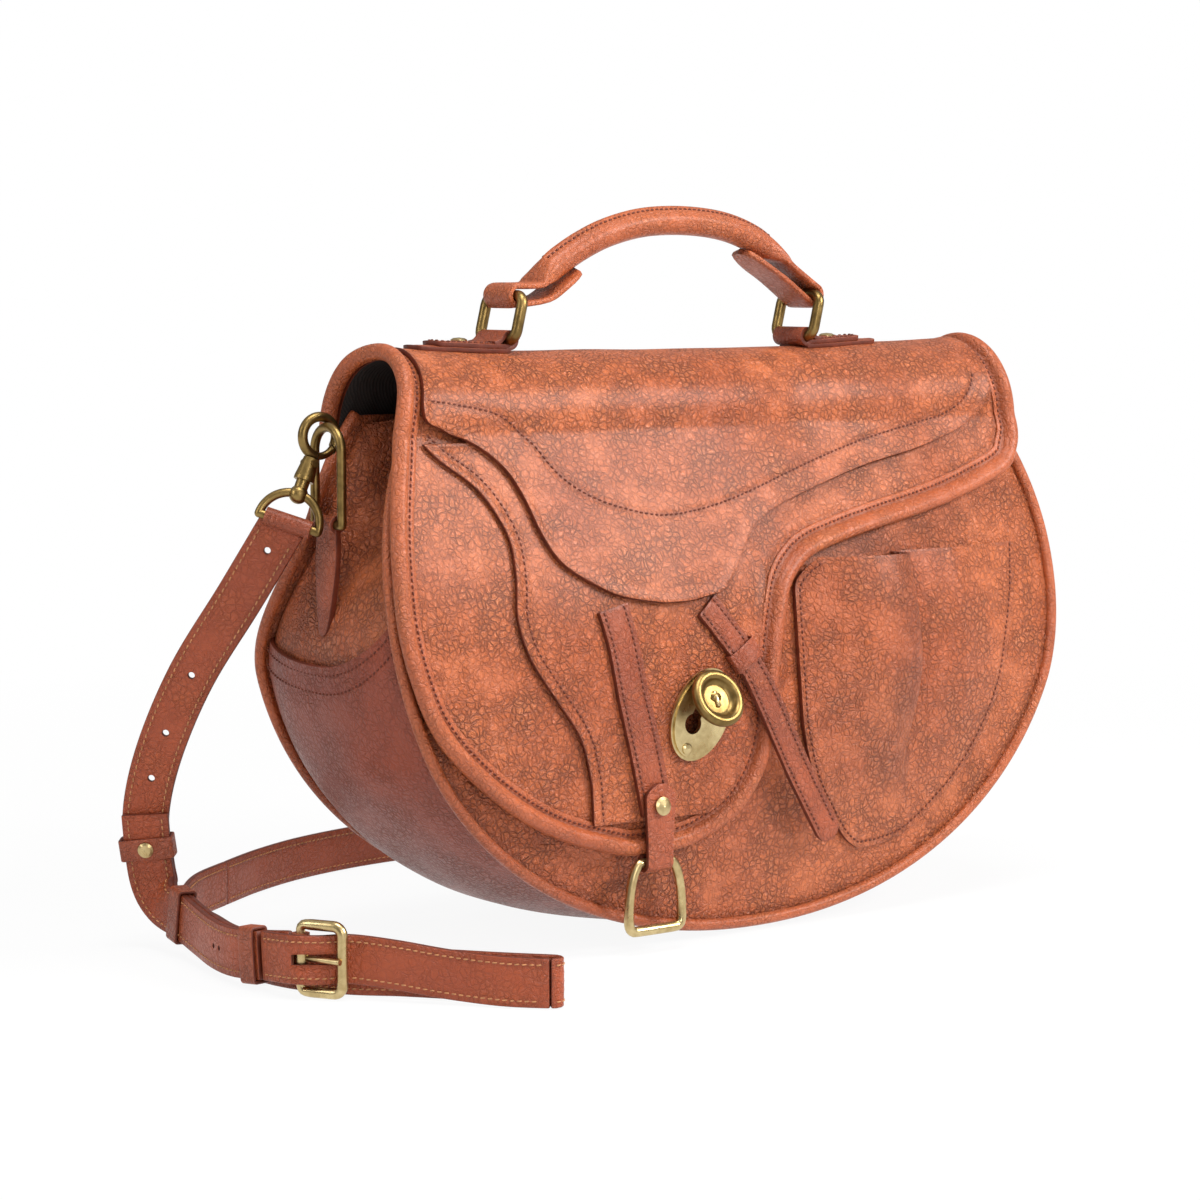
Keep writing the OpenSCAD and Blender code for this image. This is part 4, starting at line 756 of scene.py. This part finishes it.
# ---- flap
left_rim = drawn(.26, -.41, .275, -.469, .314, -.59, .378, -.71, .467, -.824, .563, -.909, .669, -.951,
    .78, -.968, .911, -.96, 1.018, -.94, 1.136, -.908, 1.201, -.89, 1.3, -.86, 1.43, -.845, 1.55, -.868,
    1.69, -.885)
right_rim = drawn(.26, -.3, .27, -.237, .315, -.133, .384, -.073, .47, -.043, .572, -.034, .689, -.008,
    .762, .017, .834, .056, .896, .139, .931, .267, .96, .409, .986, .551, 1.019, .696, 1.066, .84,
    1.103, .875, 1.145, .891, 1.214, .885, 1.3, .875, 1.43, .87, 1.69, .875)
rim = even(np.vstack([left_rim[::-1], right_rim]), 1.4)
plate_turn = radians(32)
plate_c, lock_c = np.array([-38.5, 90.5]), np.array([-37.0, 97.5])
hole_long, hole_wide = 14, 8
along_p = np.array([sin(plate_turn), cos(plate_turn)])
side_p = np.array([along_p[1], -along_p[0]])
hole = plate_c + arc(0, 359, 15) * [hole_long, hole_wide] @ [along_p, side_p]
raw_edge = beside(rim, 3.9)

# section of the bound edge, as (outwards, up) from the rim
profile = np.vstack([
    [[-3.7, 0.02], [-3.68, 0.4], [-3.45, 0.55], [-2.4, 0.6], [-1.3, 0.5], [-0.7, 0.22], [-0.15, 0.75]],
    [3.3, 0.75] + binding_r * arc(160, -171, -15), [[0.1, 0.02]]])
rim_n = left_of(rim)
grid = np.stack([flap_pt(*(rim - rim_n * s).T, flap_t + h) for s, h in profile], 1)
# painted shade: darkens the binding in the crease where the rolled edge meets its flat strip
roll_shade = np.tile(bell(profile[:, 0] + 0.6, 0.5) * 0.8, len(rim))
net("flap_roll", grid, FLAP_TRIM, ["flap_binding"], lambda c: (c - [0, 20, 0]) * [0, 1, 0], wrap=True,
    cap=True, shade=roll_shade)

skirt_left = drawn(.3, -.514, .35, -.518, .406, -.525, .499, -.555, .592, -.62, .684, -.678, .771, -.699,
    .857, -.687, .942, -.686, 1.015, -.717, 1.066, -.758, 1.116, -.828, 1.155, -.87)
skirt_right = drawn(.3, -.19, .33, -.14, .384, -.1, .47, -.07, .572, -.06, .689, -.036, .762, -.015,
    .83, .01, .88, 0, .94, -.05, 1.02, -.15, 1.155, -.3)
skirt_line = np.vstack([skirt_left[::-1], skirt_right])
skirt_top = flap_t + ply + skirt_t
skirt_sew = beside(even(skirt_left[::-1], 1.5), 4.6)

seat_left = drawn(.788, -.311, .807, -.419, .84, -.494, .887, -.564, .95, -.603, 1.038, -.634, 1.102, -.672,
    1.154, -.741, 1.181, -.819, 1.205, -.865, 1.3, -.84, 1.43, -.825, 1.545, -.828)
seat_right = drawn(.788, -.24, .797, -.175, .809, -.127, .868, -.07, .933, -.014, .979, .068, 1.021, .207,
    1.066, .382, 1.106, .593, 1.149, .74, 1.199, .827, 1.25, .845, 1.545, .845)
seat_line = np.vstack([seat_left[::-1], seat_right])
seat_sew = drawn(1.234, -.855, 1.222, -.764, 1.2, -.658, 1.151, -.582, 1.084, -.529, 1.035, -.462,
    1.001, -.374, .979, -.266, .987, -.147, 1.013, -.02, 1.071, .185, 1.124, .394, 1.157, .569, 1.182, .706,
    1.215, .77, 1.262, .805)


def seat_out(x, u):
    """the seat's upper face; its left tip stands a little off the skirt"""
    under = flap_t + 2 * ply + skirt_t * (1 - ease((u - shoulder) / (0.16 * shoulder)))
    return under + seat_t + 1.1 * near(x, u, -46, 136, 17) * (u < 175)


cloth("saddle_top", seat_line, on_flap(seat_out), seat_t, FLAP_SKIN, ["saddle_seat"],
      lines=[(seat_sew, 1.0, 0.4)], lip=0.5, lip_w=2.4)

hinge_y, hinge_z, strip_long, back_half = back_edge + 1.0, 199.0, 22.0, 0.84 * ref_w


def strip_fn(v):
    x, z = v.T
    on = face(1, x, z) + 0.6
    t = (hinge_z - 2 - z) / strip_long
    tongue = 0.5 * skirt_t * ease((z - hinge_z + 2.1) / 0.5)
    return np.stack([x, on + (1 - ease(3 * t)) * np.maximum(0, hinge_y - 0.7 - on) + skirt_t - tongue, z], 1)


low_z, top_of_strip, sewn_to = hinge_z - 2 - strip_long, hinge_z - 0.95, hinge_z - 14
strip_line = oblong(-back_half, back_half, low_z, top_of_strip)
strip_sew = oblong(3 - back_half, back_half - 3, sewn_to, low_z + 3)[[0, 3, 2, 1]]
tube("hinge_bead", [[k * (back_half - 1), hinge_y, hinge_z] for k in (-1, -0.5, 0, 0.5, 1)], 0.9, BAG_TRIM,
     ["hinge_cord"], 14)
cloth("flap_hinge_strip", strip_line, strip_fn, skirt_t, BAG_SKIN, ["flap_back"], step=2.5, looks=(0, 1, 0),
      lines=[(strip_sew, 0.9, 0.3)])

# painted shadow: the lines of depth 0 darken the skirt round the seat's outline, and the shell along the
# seat's outline and the skirt's left edge
cloth("flap_middle", skirt_line, on_flap(skirt_top), skirt_t, FLAP_SKIN, ["flap_skirt"], [hole],
      lines=[(skirt_sew, 0.9, 0.35), (seat_line, 2.4, 0)], lip=0.45, lip_w=2.2)
flap = cloth("flap", rim, on_flap(flap_t), flap_t, (skin + [LINING], "flap", "body_leather"), ["flap_shell"],
             [hole], step=1.8, lines=[(raw_edge, 0.7, 0.3), (seat_line, 2.2, 0), (skirt_left, 2.2, 0)])
# the flap's underside takes the near-black lining, which also darkens the shaded space under the arch: partly
# lining, partly painted shade
flap.modifiers["thickness"].material_offset = 2

# straps on the flap
over_skirt = flap_t + 2 * ply + skirt_t
over_roll = binding_out + 1.04 * binding_r
strap2_top = over_skirt + strap2_t


def band(path, width, tip=0.0):
    """outline round a path, with a rounded far end"""
    p = even(path, 1.5)
    d = lengths(p)
    n = left_of(p) * 0.5 * width
    if tip:
        n = n * ((1 - clamp(1 - (d[-1] - d) / tip) ** 2.2) ** (1 / 2.2))[:, None]
    return np.vstack([p + n, (p - n)[::-1]])


def tie_out(x, u):
    return over_skirt + (over_roll + ply - over_skirt) * (1 - ease((u / ref_w - 0.58) / 0.12)) + strap2_t


stirrup_path = drawn(.785, -.45, .712, -.436, .578, -.416, .463, -.384, .32, -.345, n=6)
tie_path = drawn(.775, -.187, .727, -.149, .66, -.1, .549, -.04, .402, .044, .289, .119, .205, .175, n=6)
hang_sew = [beside(even(stirrup_path, 1.5), k) for k in (-4.9, 4.9)]
tie_sew = [beside(even(tie_path, 1.5)[:-4], k) for k in (-3.9, 3.9)]
cloth("stirrup_hanger", band(stirrup_path, 14.0), on_flap(strap2_top), strap2_t, FLAP_PLAIN,
      ["stirrup_strap"], step=1.3, lines=[(h, 0.8, 0.3) for h in hang_sew])
cloth("tie", band(tie_path, 11.5, 7.0), on_flap(tie_out), strap2_t, FLAP_PLAIN, ["tie_strap"], step=1.2,
      lines=[(h, 0.8, 0.3) for h in tie_sew])
kt = even(tie_path, 1.0)
kc = int(np.argmin(np.abs(kt[:, 1] - 0.66 * ref_w)))
kn = left_of(kt)[kc]
keeper_section = ((-7.3, -2.0), (-7.3, 0.6), (-6.6, 1.35), (0, 1.55), (6.6, 1.35), (7.3, 0.6), (7.3, -2.0))
rows = [[flap_pt(*(q + kn * s), tie_out(0, q[1]) + h) for s, h in keeper_section] for q in kt[kc - 4:kc + 5]]
thicken(net("tie_loop", np.array(rows), FLAP_PLAIN, ["tie_keeper"], (0, -1, 0)), 0.9, 0.25)

bar_x, bar_z, bar_r = -0.347 * ref_w, 35.0, 1.95
eye = bar_r + leather
bar_y = -face(-1, bar_x, bar_z) - flap_off(bar_x, bar_z) - over_roll - 0.25 - eye + 2 * bar_r
loop_top = 0.385 * ref_w
top_y = flap_pt(bar_x, loop_top, strap2_top + ply + leather)[1]
t = np.linspace(0.12, 1.0, 22)[:, None]
loop_path = np.vstack([[bar_x, bar_y, bar_z] + eye * np.insert(arc(60, -181, -12), 0, 0, 1),
                       [bar_x, bar_y - eye, bar_z] + [0, top_y - bar_y + eye, 0] * ease(t)
                       + [0, 0, loop_top - bar_z] * t])
wide = np.r_[np.full(24, 12.4), np.linspace(12.4, 14.5, 14), 14.4, 13.6, 11.6, 8.0, 3.0]
wide = np.interp(np.linspace(0, 1, len(loop_path)), np.linspace(0, 1, len(wide)), wide)
strip("stirrup_tab", loop_path, (1, 0, 0), wide, leather, FLAP_PLAIN, ["stirrup_loop"], (0, -1, 0))

# ---- lock
knob_r, knob_wire, knob_tip, stem_r = 9.6, 2.1, radians(28), 2.2
low, high = cad_box_of("lock_knob")
knob_c = np.array([lock_c[0], low[1] + knob_r * sin(knob_tip) + knob_wire, lock_c[1]])
axis = np.array([0, -cos(knob_tip), sin(knob_tip)])
side_v = np.array([1.0, 0, 0])
flat_v = np.cross(axis, side_v)
dish = np.vstack([[3.0, -2.2], [knob_r, 0] + knob_wire * arc(-130, 171, 15),
                  [[6.9, -0.2], [6.3, -0.9], [5.4, -1.0], [0.01, -1.0]]])
spin = arc(0, 361, 7.5) @ [side_v, flat_v]
grid = np.array([knob_c + axis * h + spin * r for r, h in dish])
weld(net("knob_dish", grid, ([AGED], "knob", "aged_brass"), ["lock_knob"],
         lambda c: (c - knob_c) @ np.outer(axis, axis) + 0.001))
tube("knob_stem", [[lock_c[0], y, lock_c[1]] for y in (high[1], knob_c[1] + 0.5)], stem_r,
     ([AGED], "knob", "aged_brass"), (), 14)
tube("knob_blade", [knob_c - axis * 0.9 + flat_v * t for t in (-3.4, -3.0, 3.0, 3.4)], [0.5, 1.1, 1.1, 0.5],
     ([PALE], "knob", "pale_brass"), (), 14)

low, high = cad_box_of("stirrup")
leg = np.array([[8.4, -0.6], [10.0, -2.8], [11.4, -6.5], [12.4, -11.5], [12.9, -17], [13.0, -21.5],
                [12.5, -24.4], [11.0, -25.9]])
outline = np.vstack([[[0, 0], [7.2, 0]], leg, [[8, -26.2], [-8, -26.2]], leg[::-1] * [-1, 1],
                     [[-7.2, 0], [0, 0]]])
frame_path = even(curve(outline, 5), 1.0)[:-1]
tube("stirrup_frame", np.insert(frame_path, 1, 0, 1) + [0.5 * (low[0] + high[0]), bar_y, bar_z],
     1.85 + 0.2 * ease((-frame_path[:, 1] - 18) / 8), ([PALE], "stirrup", "pale_brass"), ["stirrup"],
     closed=True, hint=(0, 1, 0))

# ---- handle
wire, ring_drop, ring_half, ring_corner, lean = 2.2, 17.5, 11.6, 4.0, radians(14)
handle_y, grip_rise, grip_in = -5.0, 29, 0.075
loop_half, loop_t, grip_half, grip_t = 8.8, 1.3, 5.9, 5.3
top_out = flap_t + 3 * ply + seat_t


def top_z(x, y, out):
    """height of the flap's top above a point"""
    lead, tail = arch_ends(x, out)
    c = np.clip((0.5 * (tail - lead) - y) / (0.5 * (tail + lead)), -1, 1)
    s = np.sqrt(1 - c * c)
    return shoulder + (arch_rise + out) * s ** 0.9 - arch_sag * s * s * (1 - (np.abs(x) / half_w) ** 2)


bars = {}
for tag, x in (("left", -92.5), ("right", 59.0)):
    lead, tail = arch_ends(x, top_out)
    crest = max(top_z(x + k * 0.05 * half_w, 0.5 * (tail - lead), top_out) for k in (-1, 1))
    bars[tag] = np.array([x, handle_y, crest + wire + 0.05 + leather])
up = np.array([sin(lean), 0, cos(lean)])
side3 = np.array([0, 1, 0])
grips = {k: b + up * ring_drop for k, b in bars.items()}
for tag, b in bars.items():
    ring = rounded(ring_half, ring_drop / 2, ring_corner, 15) + [0, ring_drop / 2]
    tube("ring_" + tag, even(b + ring @ [side3, up], 1.2, True), wire, ([AGED], "ring_" + tag, "aged_brass"),
         ["handle_ring_" + tag], closed=True, hint=(1, 0, 0))

grip_rises = curve([[0, 0], [.06, .1], [.11, .24], [.17, .45], [.24, .65], [.32, .82], [.42, .95], [.52, 1],
                    [.63, .99], [.73, .92], [.82, .77], [.89, .56], [.94, .32], [1, 0]], 6)


def grip_pt(t):
    t = np.asarray(t, float)[..., None]
    rise = grip_rise * np.interp(t, grip_rises[:, 0], grip_rises[:, 1])
    return grips["left"] + t * (grips["right"] - grips["left"]) + rise * [0, 0, 1]


def grip_end(side):
    """the leather's middle line from the tongue's end, under the grip and round the ring's bar to the grip"""
    far, nearer = grip_pt(0.2 if side < 0 else 0.8), grip_pt(grip_in if side < 0 else 1 - grip_in)
    b = grips["left" if side < 0 else "right"]
    d = unit(far - nearer)
    low = side * np.array([-d[2], 0, d[0]])
    under = [far + low * 6.9, 0.5 * (far + nearer) + low * 7.1, nearer + low * 6.6]
    r = wire + 0.1 + 1.4
    base = atan2(under[2][2] - b[2], under[2][0] - b[0])
    return np.vstack([under, b + r * np.insert(arc(100, 271, 15, base, side), 1, 0, 1)])


left_part, right_part = grip_end(-1), grip_end(1)[::-1]
ts = np.linspace(grip_in, 1 - grip_in, 40)
line = np.vstack([left_part, grip_pt(ts), right_part])
fine = curve(line, 4)
# roll is 0 where the leather is flat and 1 where it is rolled to a grip
roll = np.r_[0 * left_part[:, 0], clamp((ts - grip_in) / grip_in) * clamp((1 - grip_in - ts) / grip_in),
             0 * right_part[:, 0]]
roll = ease(np.interp(np.arange(len(fine)) / 4, np.arange(len(line)), roll))
up3 = -np.cross(along(fine), side3)
tip = np.minimum(np.arange(len(fine)), np.arange(len(fine))[::-1]) / 4
flat_w = loop_half * (1 - clamp(1 - tip / 1.4) ** 2.5) ** (1 / 2.5)
angs = np.arange(36) * 2 * pi / 36
ca, sa, to_low = np.cos(angs), np.sin(angs), angs - pi * 1.5
rings = []
for c, u3, fw, k in zip(fine, up3, flat_w, roll):
    e = 2 + 3 * (1 - k)
    r = (np.abs(ca) ** e + np.abs(sa) ** e) ** (-1 / e)
    seam_ridge = k * bell(to_low, 0.17) - 0.35 * k * (bell(to_low - 0.3, 0.08) + bell(to_low + 0.3, 0.08))
    w_ = (fw * (1 - k) + grip_half * k) * r * ca
    h_ = ((loop_t * (1 - k) + grip_t * k) * r + seam_ridge) * sa
    rings.append(c + w_[:, None] * side3 + h_[:, None] * u3)
net("handle_leather", np.array(rings), ([ROLL], "handle", "smooth_leather"),
    ["handle_grip", "handle_loop_left", "handle_loop_right"], away_from(fine), wrap=True, cap=True)
grip_line = grip_pt(np.linspace(0.14, 0.86, 120))
gu = -np.cross(along(grip_line), side3)
runs = [(grip_line - gu * 5.0 + side3 * k * 1.75, -gu + side3 * k * 0.4) for k in (-1, 1)]
for ends in ((0.1, 0.17), (0.815, 0.9)):
    seg = grip_pt(np.linspace(*ends, 20))
    low = np.cross(along(seg), side3)
    low = low * -np.sign(low[:, 2:])
    runs += [(seg + low * 8.2 + side3 * k * 6.4, low) for k in (-1, 1)]
stitches("handle_stitching", runs, ([THREAD], "handle", "smooth_leather"))

eye_wide, tab_half, sewn_in = 17.6, 9.0, 2.2


def tab_line(long):
    """a tab's outline, from the ring's bar out, with a rounded end"""
    a = np.linspace(0, long, 40)
    tip = (1 - clamp(1 - (long - a) / 7.0) ** 2.4) ** (1 / 2.4)
    w = tab_half * (1 - 0.22 * ease((a - 8) / (long - 14))) * tip
    return np.vstack([np.stack([a, -w], 1), np.stack([a, w], 1)[::-1]])


for tag, side in (("left", -1), ("right", 1)):
    b = bars[tag]
    name = "handle_tab_" + tag
    for part, long, layer, stands_for in (("_lower", 42.0, leather + 0.25, [name]),
                                          ("_upper", 33.0, 2 * leather + 0.35, [])):
        def tab_fn(v):
            x, y = b[0] + side * v[:, 0], b[1] + v[:, 1]
            return np.stack([x, y, top_z(x, y, top_out + layer)], 1)
        edge = tab_line(long)
        cloth(name + part, edge, tab_fn, leather, FLAP_PLAIN, stands_for, step=1.2, looks=(0, 0, 1),
              lines=[(beside(even(edge, 1.2, True), sewn_in), 0.7, 0.2)])
    r = wire + 0.05 + leather
    wrap = np.vstack([[7.5, 0, -r + 2 * leather + 0.4], [5.0, 0, 0.3],
                      r * np.insert(arc(50, 271, 12), 1, 0, 1), [2.0, 0, -r + 0.1]])
    strip(name + "_eye", curve(b + wrap * [side, 1, 1], 3), (0, 1, 0), eye_wide, leather, FLAP_PLAIN,
          looks=(-side, 0, 0.3))
    tab_sew = even(beside(even(edge, 1.0, True), sewn_in), 1.0)[6:-6]
    stitches(name + "_stitching", [(tab_fn(tab_sew), np.tile([0.0, 0, 1], (len(tab_sew), 1)))],
             ([THREAD], "flap", "smooth_leather"))

# ---- side tabs
side_x, side_y, side_low, side_drop, tab_half = 166.0, 2.0, 166.0, 41.0, 6.0
tab_shape = curve(np.array([[-1, 0.0], [-1.15, -.2], [-1.1, -.45], [-.8, -.75], [-.35, -1.0], [.35, -1.0],
                            [.8, -.75], [1.1, -.45], [1.15, -.2], [1, 0.0]]) * [tab_half, side_drop], 6)
for tag, side in (("left", -1), ("right", 1)):
    name = "side_tab_" + tag
    lo, hi = cad_box_of(name)
    lean_t = atan((min(abs(lo[0]), abs(hi[0])) + 1.7 - side_x) / side_drop)

    def side_fn(v):
        x = 1.0 + 0.6 * np.cos(v[:, 0] / tab_half * 1.3)
        z = v[:, 1]
        return np.stack([side * (side_x + x * cos(lean_t) + z * sin(lean_t)), side_y + v[:, 0],
                         side_low + z * cos(lean_t)], 1)
    cloth(name + "_leather", tab_shape, side_fn, 2.8, BAG_PLAIN, [name], step=1.2, looks=(side, 0, 0))
    r = 1.85 + leather
    loop = [side_x * side, side_y, side_low] + r * np.insert(arc(-80, 261, 14), 1, 0, 1)
    strip(name + "_eye", loop, (0, 1, 0), 2 * tab_half, leather, BAG_PLAIN)

# ---- shoulder strap
def lying(*rows):
    """the part that lies on the floor: the same rows without their height"""
    return [[x, y, .0532, turn] for x, y, turn in rows]


# middle lines as (x, y, z) shares of ref_w, with the way the outer face looks as a share of a turn
left_run = [[-1.0757, .0613, .954, .635], [-1.125, .142, .81, .639], [-1.184, .249, .633, .639],
    [-1.218, .335, .457, .639], [-1.228, .382, .311, .635], [-1.212, .39, .2, .625], [-1.2, .385, .14, .61],
    [-1.199, .34, .105, .57], [-1.203, .262, .092, .52], [-1.223, .147, .076, .49],
    [-1.249, .035, .068, .497],
    [-1.262, -.062, .068, .515], [-1.253, -.155, .0745, .535], [-1.233, -.231, .0827, .555]]
tail_run = left_run[4:13]
front_run = [[-1.2655, -.167, .0757, .52], [-1.258, -.267, .0827, .54], [-1.2155, -.31, .0827, .62],
    [-1.158, -.34, .0827, .617], [-1.1, -.42, .076, .6], [-1.03, -.51, .062, .608],
    [-.957, -.606, .0535, .612],
    [-.8905, -.683, .0532, .614]]
fold_run = lying([-.8892, -.6845, .614], [-.8768, -.6897, .739], [-.8633, -.685, .864],
    [-.8575, -.6716, .989])
inner_run = lying([-.8628, -.6574, 1.114], [-.93, -.577, 1.115], [-1.0, -.483, 1.115],
    [-1.07, -.393, 1.105], [-1.134, -.328, 1.11], [-1.186, -.248, 1.065], [-1.216, -.16, 1.03],
    [-1.222, -.06, 1.0], [-1.215, .04, .985], [-1.187, .15, .965], [-1.16, .27, .96], [-1.125, .38, .935],
    [-1.06, .495, .885], [-.95, .62, .865], [-.815, .716, .845])
rear_run = lying([-.8145, .7164, .845], [-.66, .815, .84], [-.48, .9, .815], [-.27, .955, .785],
    [-.04, .972, .755], [.2, .958, .73], [.43, .905, .7], [.65, .8, .66], [.82, .67, .625])
right_run = [[.8206, .6694, .0532, .625], [.93, .55, .0532, .61], [1.03, .42, .068, .59],
    [1.115, .31, .15, .583],
    [1.165, .23, .33, .583], [1.175, .165, .55, .583], [1.135, .1, .78, .583], [1.0795, .0555, .9525, .583]]
strap_w, strap_t, lay, into_sleeve = 18.0, 2.2, 0.3, 4.5
strap_runs = []


def turned(c):
    return np.stack([np.cos(2 * pi * c[:, 3]), np.sin(2 * pi * c[:, 3]), 0 * c[:, 3]], 1)


class Ribbon:
    """the strap's surface along a middle line, made longer at its start or its end"""
    def __init__(self, shares, shift, start, end):
        c = curve(shares, 8)
        grow = np.eye(3, 4) / ref_w
        if start:
            c = np.vstack([c[:1] + unit(c[:1, :3] - c[1:2, :3]) @ grow * start, c])
        if end:
            c = np.vstack([c, c[-1:] + unit(c[-1:, :3] - c[-2:-1, :3]) @ grow * end])
        self.p, self.shift = c[:, :3] * ref_w, shift
        t = along(self.p)
        self.w = unit(np.cross(turned(c), t))
        self.out = unit(np.cross(t, self.w))
        self.s = lengths(self.p) - start
        self.start, self.long = -start, self.s[-1]

    def fn(self, side):
        def fn(v):
            p, w, out = (sample(v[:, 0], self.s, a) for a in (self.p, self.w, self.out))
            crown = 0.12 * (1 - (v[:, 1] / (0.5 * strap_w)) ** 2)
            return p + w * v[:, 1:2] + out * (self.shift + side * (0.5 * strap_t + crown))[:, None]
        return fn

    def line(self, c):
        s = np.arange(1.2, self.long - 1.2, 1.0)
        return np.stack([s, np.full(len(s), c)], 1)


def disc(s, r):
    return [s, 0] + r * arc(0, 359, 360 / 14)


def strap_piece(name, shares, stands_for, shift=0.0, cuts=(), sewn=(1, -1), start=0.0, end=0.0):
    rb = Ribbon(shares, shift, start, end)
    h = strap_w / 2
    rows = [rb.line(c) for c in (-h + 2.4, h - 2.4)]
    cloth(name, oblong(rb.start, rb.long, -h, h), rb.fn(1), strap_t, ([STRAP, EDGE], "bag", "strap_leather"),
          stands_for, cuts, step=1.8, looks=None, lines=[(row, 0.7, 0.16) for row in rows], bevel=0.55)
    for side in sewn:
        for row in rows:
            strap_runs.append(run(row, rb.fn(side), side))


strap_piece("strap_left_side", left_run, ["strap_left"], start=into_sleeve,
            cuts=[disc(s, 1.3) for s in (7.3, 66, 92.1, 111.8)])
strap_piece("strap_end", tail_run, ["strap_tail"], strap_t + lay, sewn=(1,),
            cuts=[disc(14.5, 1.2), disc(95.3, 0.9), disc(100.5, 0.9)])
strap_piece("strap_front_run", front_run, ["strap_front"],
            cuts=[oblong(17.5, 33.5, -1.8, 1.8)])
strap_piece("strap_inner_run", fold_run + inner_run, ["strap_inner"])
strap_piece("strap_rear_run", rear_run, ["strap_rear"])
strap_piece("strap_right_side", right_run, ["strap_right"], end=into_sleeve)
stitches("strap_stitching", strap_runs, ([CREAM], "bag", "strap_leather"), 2.7, 1.9, 0.3)

coarse = curve(left_run, 3)
middle, facing = coarse[:, :3] * ref_w, turned(coarse)
keeper_t = 1.3
ring = rounded(0.5 * strap_w + 0.3 + keeper_t, strap_t + 0.45 + keeper_t, 1.6, 18)
for tag, k, long in (("upper", 14, 8.5), ("middle", 24, 8.5), ("lower", 35, 8.0)):
    t = unit(middle[k + 1] - middle[k - 1])
    w = unit(np.cross(facing[k], t))
    o = unit(np.cross(t, w))
    c = middle[k] + o * 0.5 * (strap_t + lay)
    rows = [c + ring @ [w, o] + t * s for s in np.linspace(-long / 2, long / 2, 7)]
    thicken(net("strap_keeper_" + tag + "_leather", np.array(rows), (plain, "bag", "strap_leather"),
                ["strap_keeper_" + tag], lambda q: (q - c) - ((q - c) @ t)[:, None] * t, wrap=True), 1.25)

buckle_at, buckle_turn = np.array([-209.886, -44.074, 14.1]), radians(-62)
buckle_long, buckle_half, round_r, bar_corner_r = 17.0, 12.3, 3.4, 2.0
way = np.array([cos(buckle_turn), sin(buckle_turn), 0])
pts = []
for k, (cx, cz) in enumerate(((1, 1), (0, 1), (0, -1), (1, -1))):
    r = round_r if cx else bar_corner_r
    pts.append([buckle_long - r if cx else r, cz * (buckle_half - r)] + r * arc(90 * k, 90 * k + 91, 15))
loop = even(buckle_at + np.vstack(pts) @ [way, [0, 0, 1]], 1.0, True)
tube("buckle", loop, 1.7 + 0.35 * ease((loop - buckle_at) @ way / 5), ([PALE], "bag", "pale_brass"),
     ["buckle_frame"], closed=True, hint=np.cross(way, [0, 0, 1]))

# ---- pieces kept from the solids
pale = ["stirrup_rivet", "lock_plate", "plate_rivets", "tab_rivets", "keeper_rivet", "buckle_prong"]
aged = ["lock_base"] + [part + tag for part in ("side_ring_", "hook_body_", "hook_gate_", "hook_swivel_",
                                                "end_ring_") for tag in ("left", "right")]
for names, mat in ((pale, PALE), (aged, AGED), (["strap_bar_loops", "end_sleeves"], SMOOTH)):
    for n in names:
        ob = nodes[n]
        ob.data.materials.clear()
        ob.data.materials.append(mat)
        for o in bpy.context.selected_objects:
            o.select_set(False)
        ob.select_set(True)
        bpy.context.view_layer.objects.active = ob
        bpy.ops.object.shade_smooth_by_angle(angle=radians(32))

# ---- stitching on the bag and the flap
flap_runs = [run(beside(rim, 1.7)[2:-2], on_flap(flap_t + 0.5)),
             run(skirt_sew, on_flap(skirt_top - 0.3)),
             run(seat_sew, on_flap(lambda x, u: seat_out(x, u) - 0.32))]
flap_runs += [run(h, on_flap(strap2_top - 0.25)) for h in hang_sew]
flap_runs += [run(h, on_flap(lambda x, u: tie_out(x, u) - 0.25)) for h in tie_sew]
stitches("flap_stitching", flap_runs, ([THREAD], "flap", "trim_leather"))
bag_runs = [run(sew, pocket_fn(leather - 0.3)), run(strip_sew, strip_fn, -1)]
for k in lip_rows:
    for left in (True, False):
        s = seam_at_height(lip_z(vs), left) + (-k if left else k)
        p = gusset_pt(s, vs, 0, -0.1)
        bag_runs.append((p, unit(gusset_pt(s, vs, -1, -0.1) - p)))
stitches("bag_stitching", bag_runs, ([THREAD], "bag", "body_leather"))
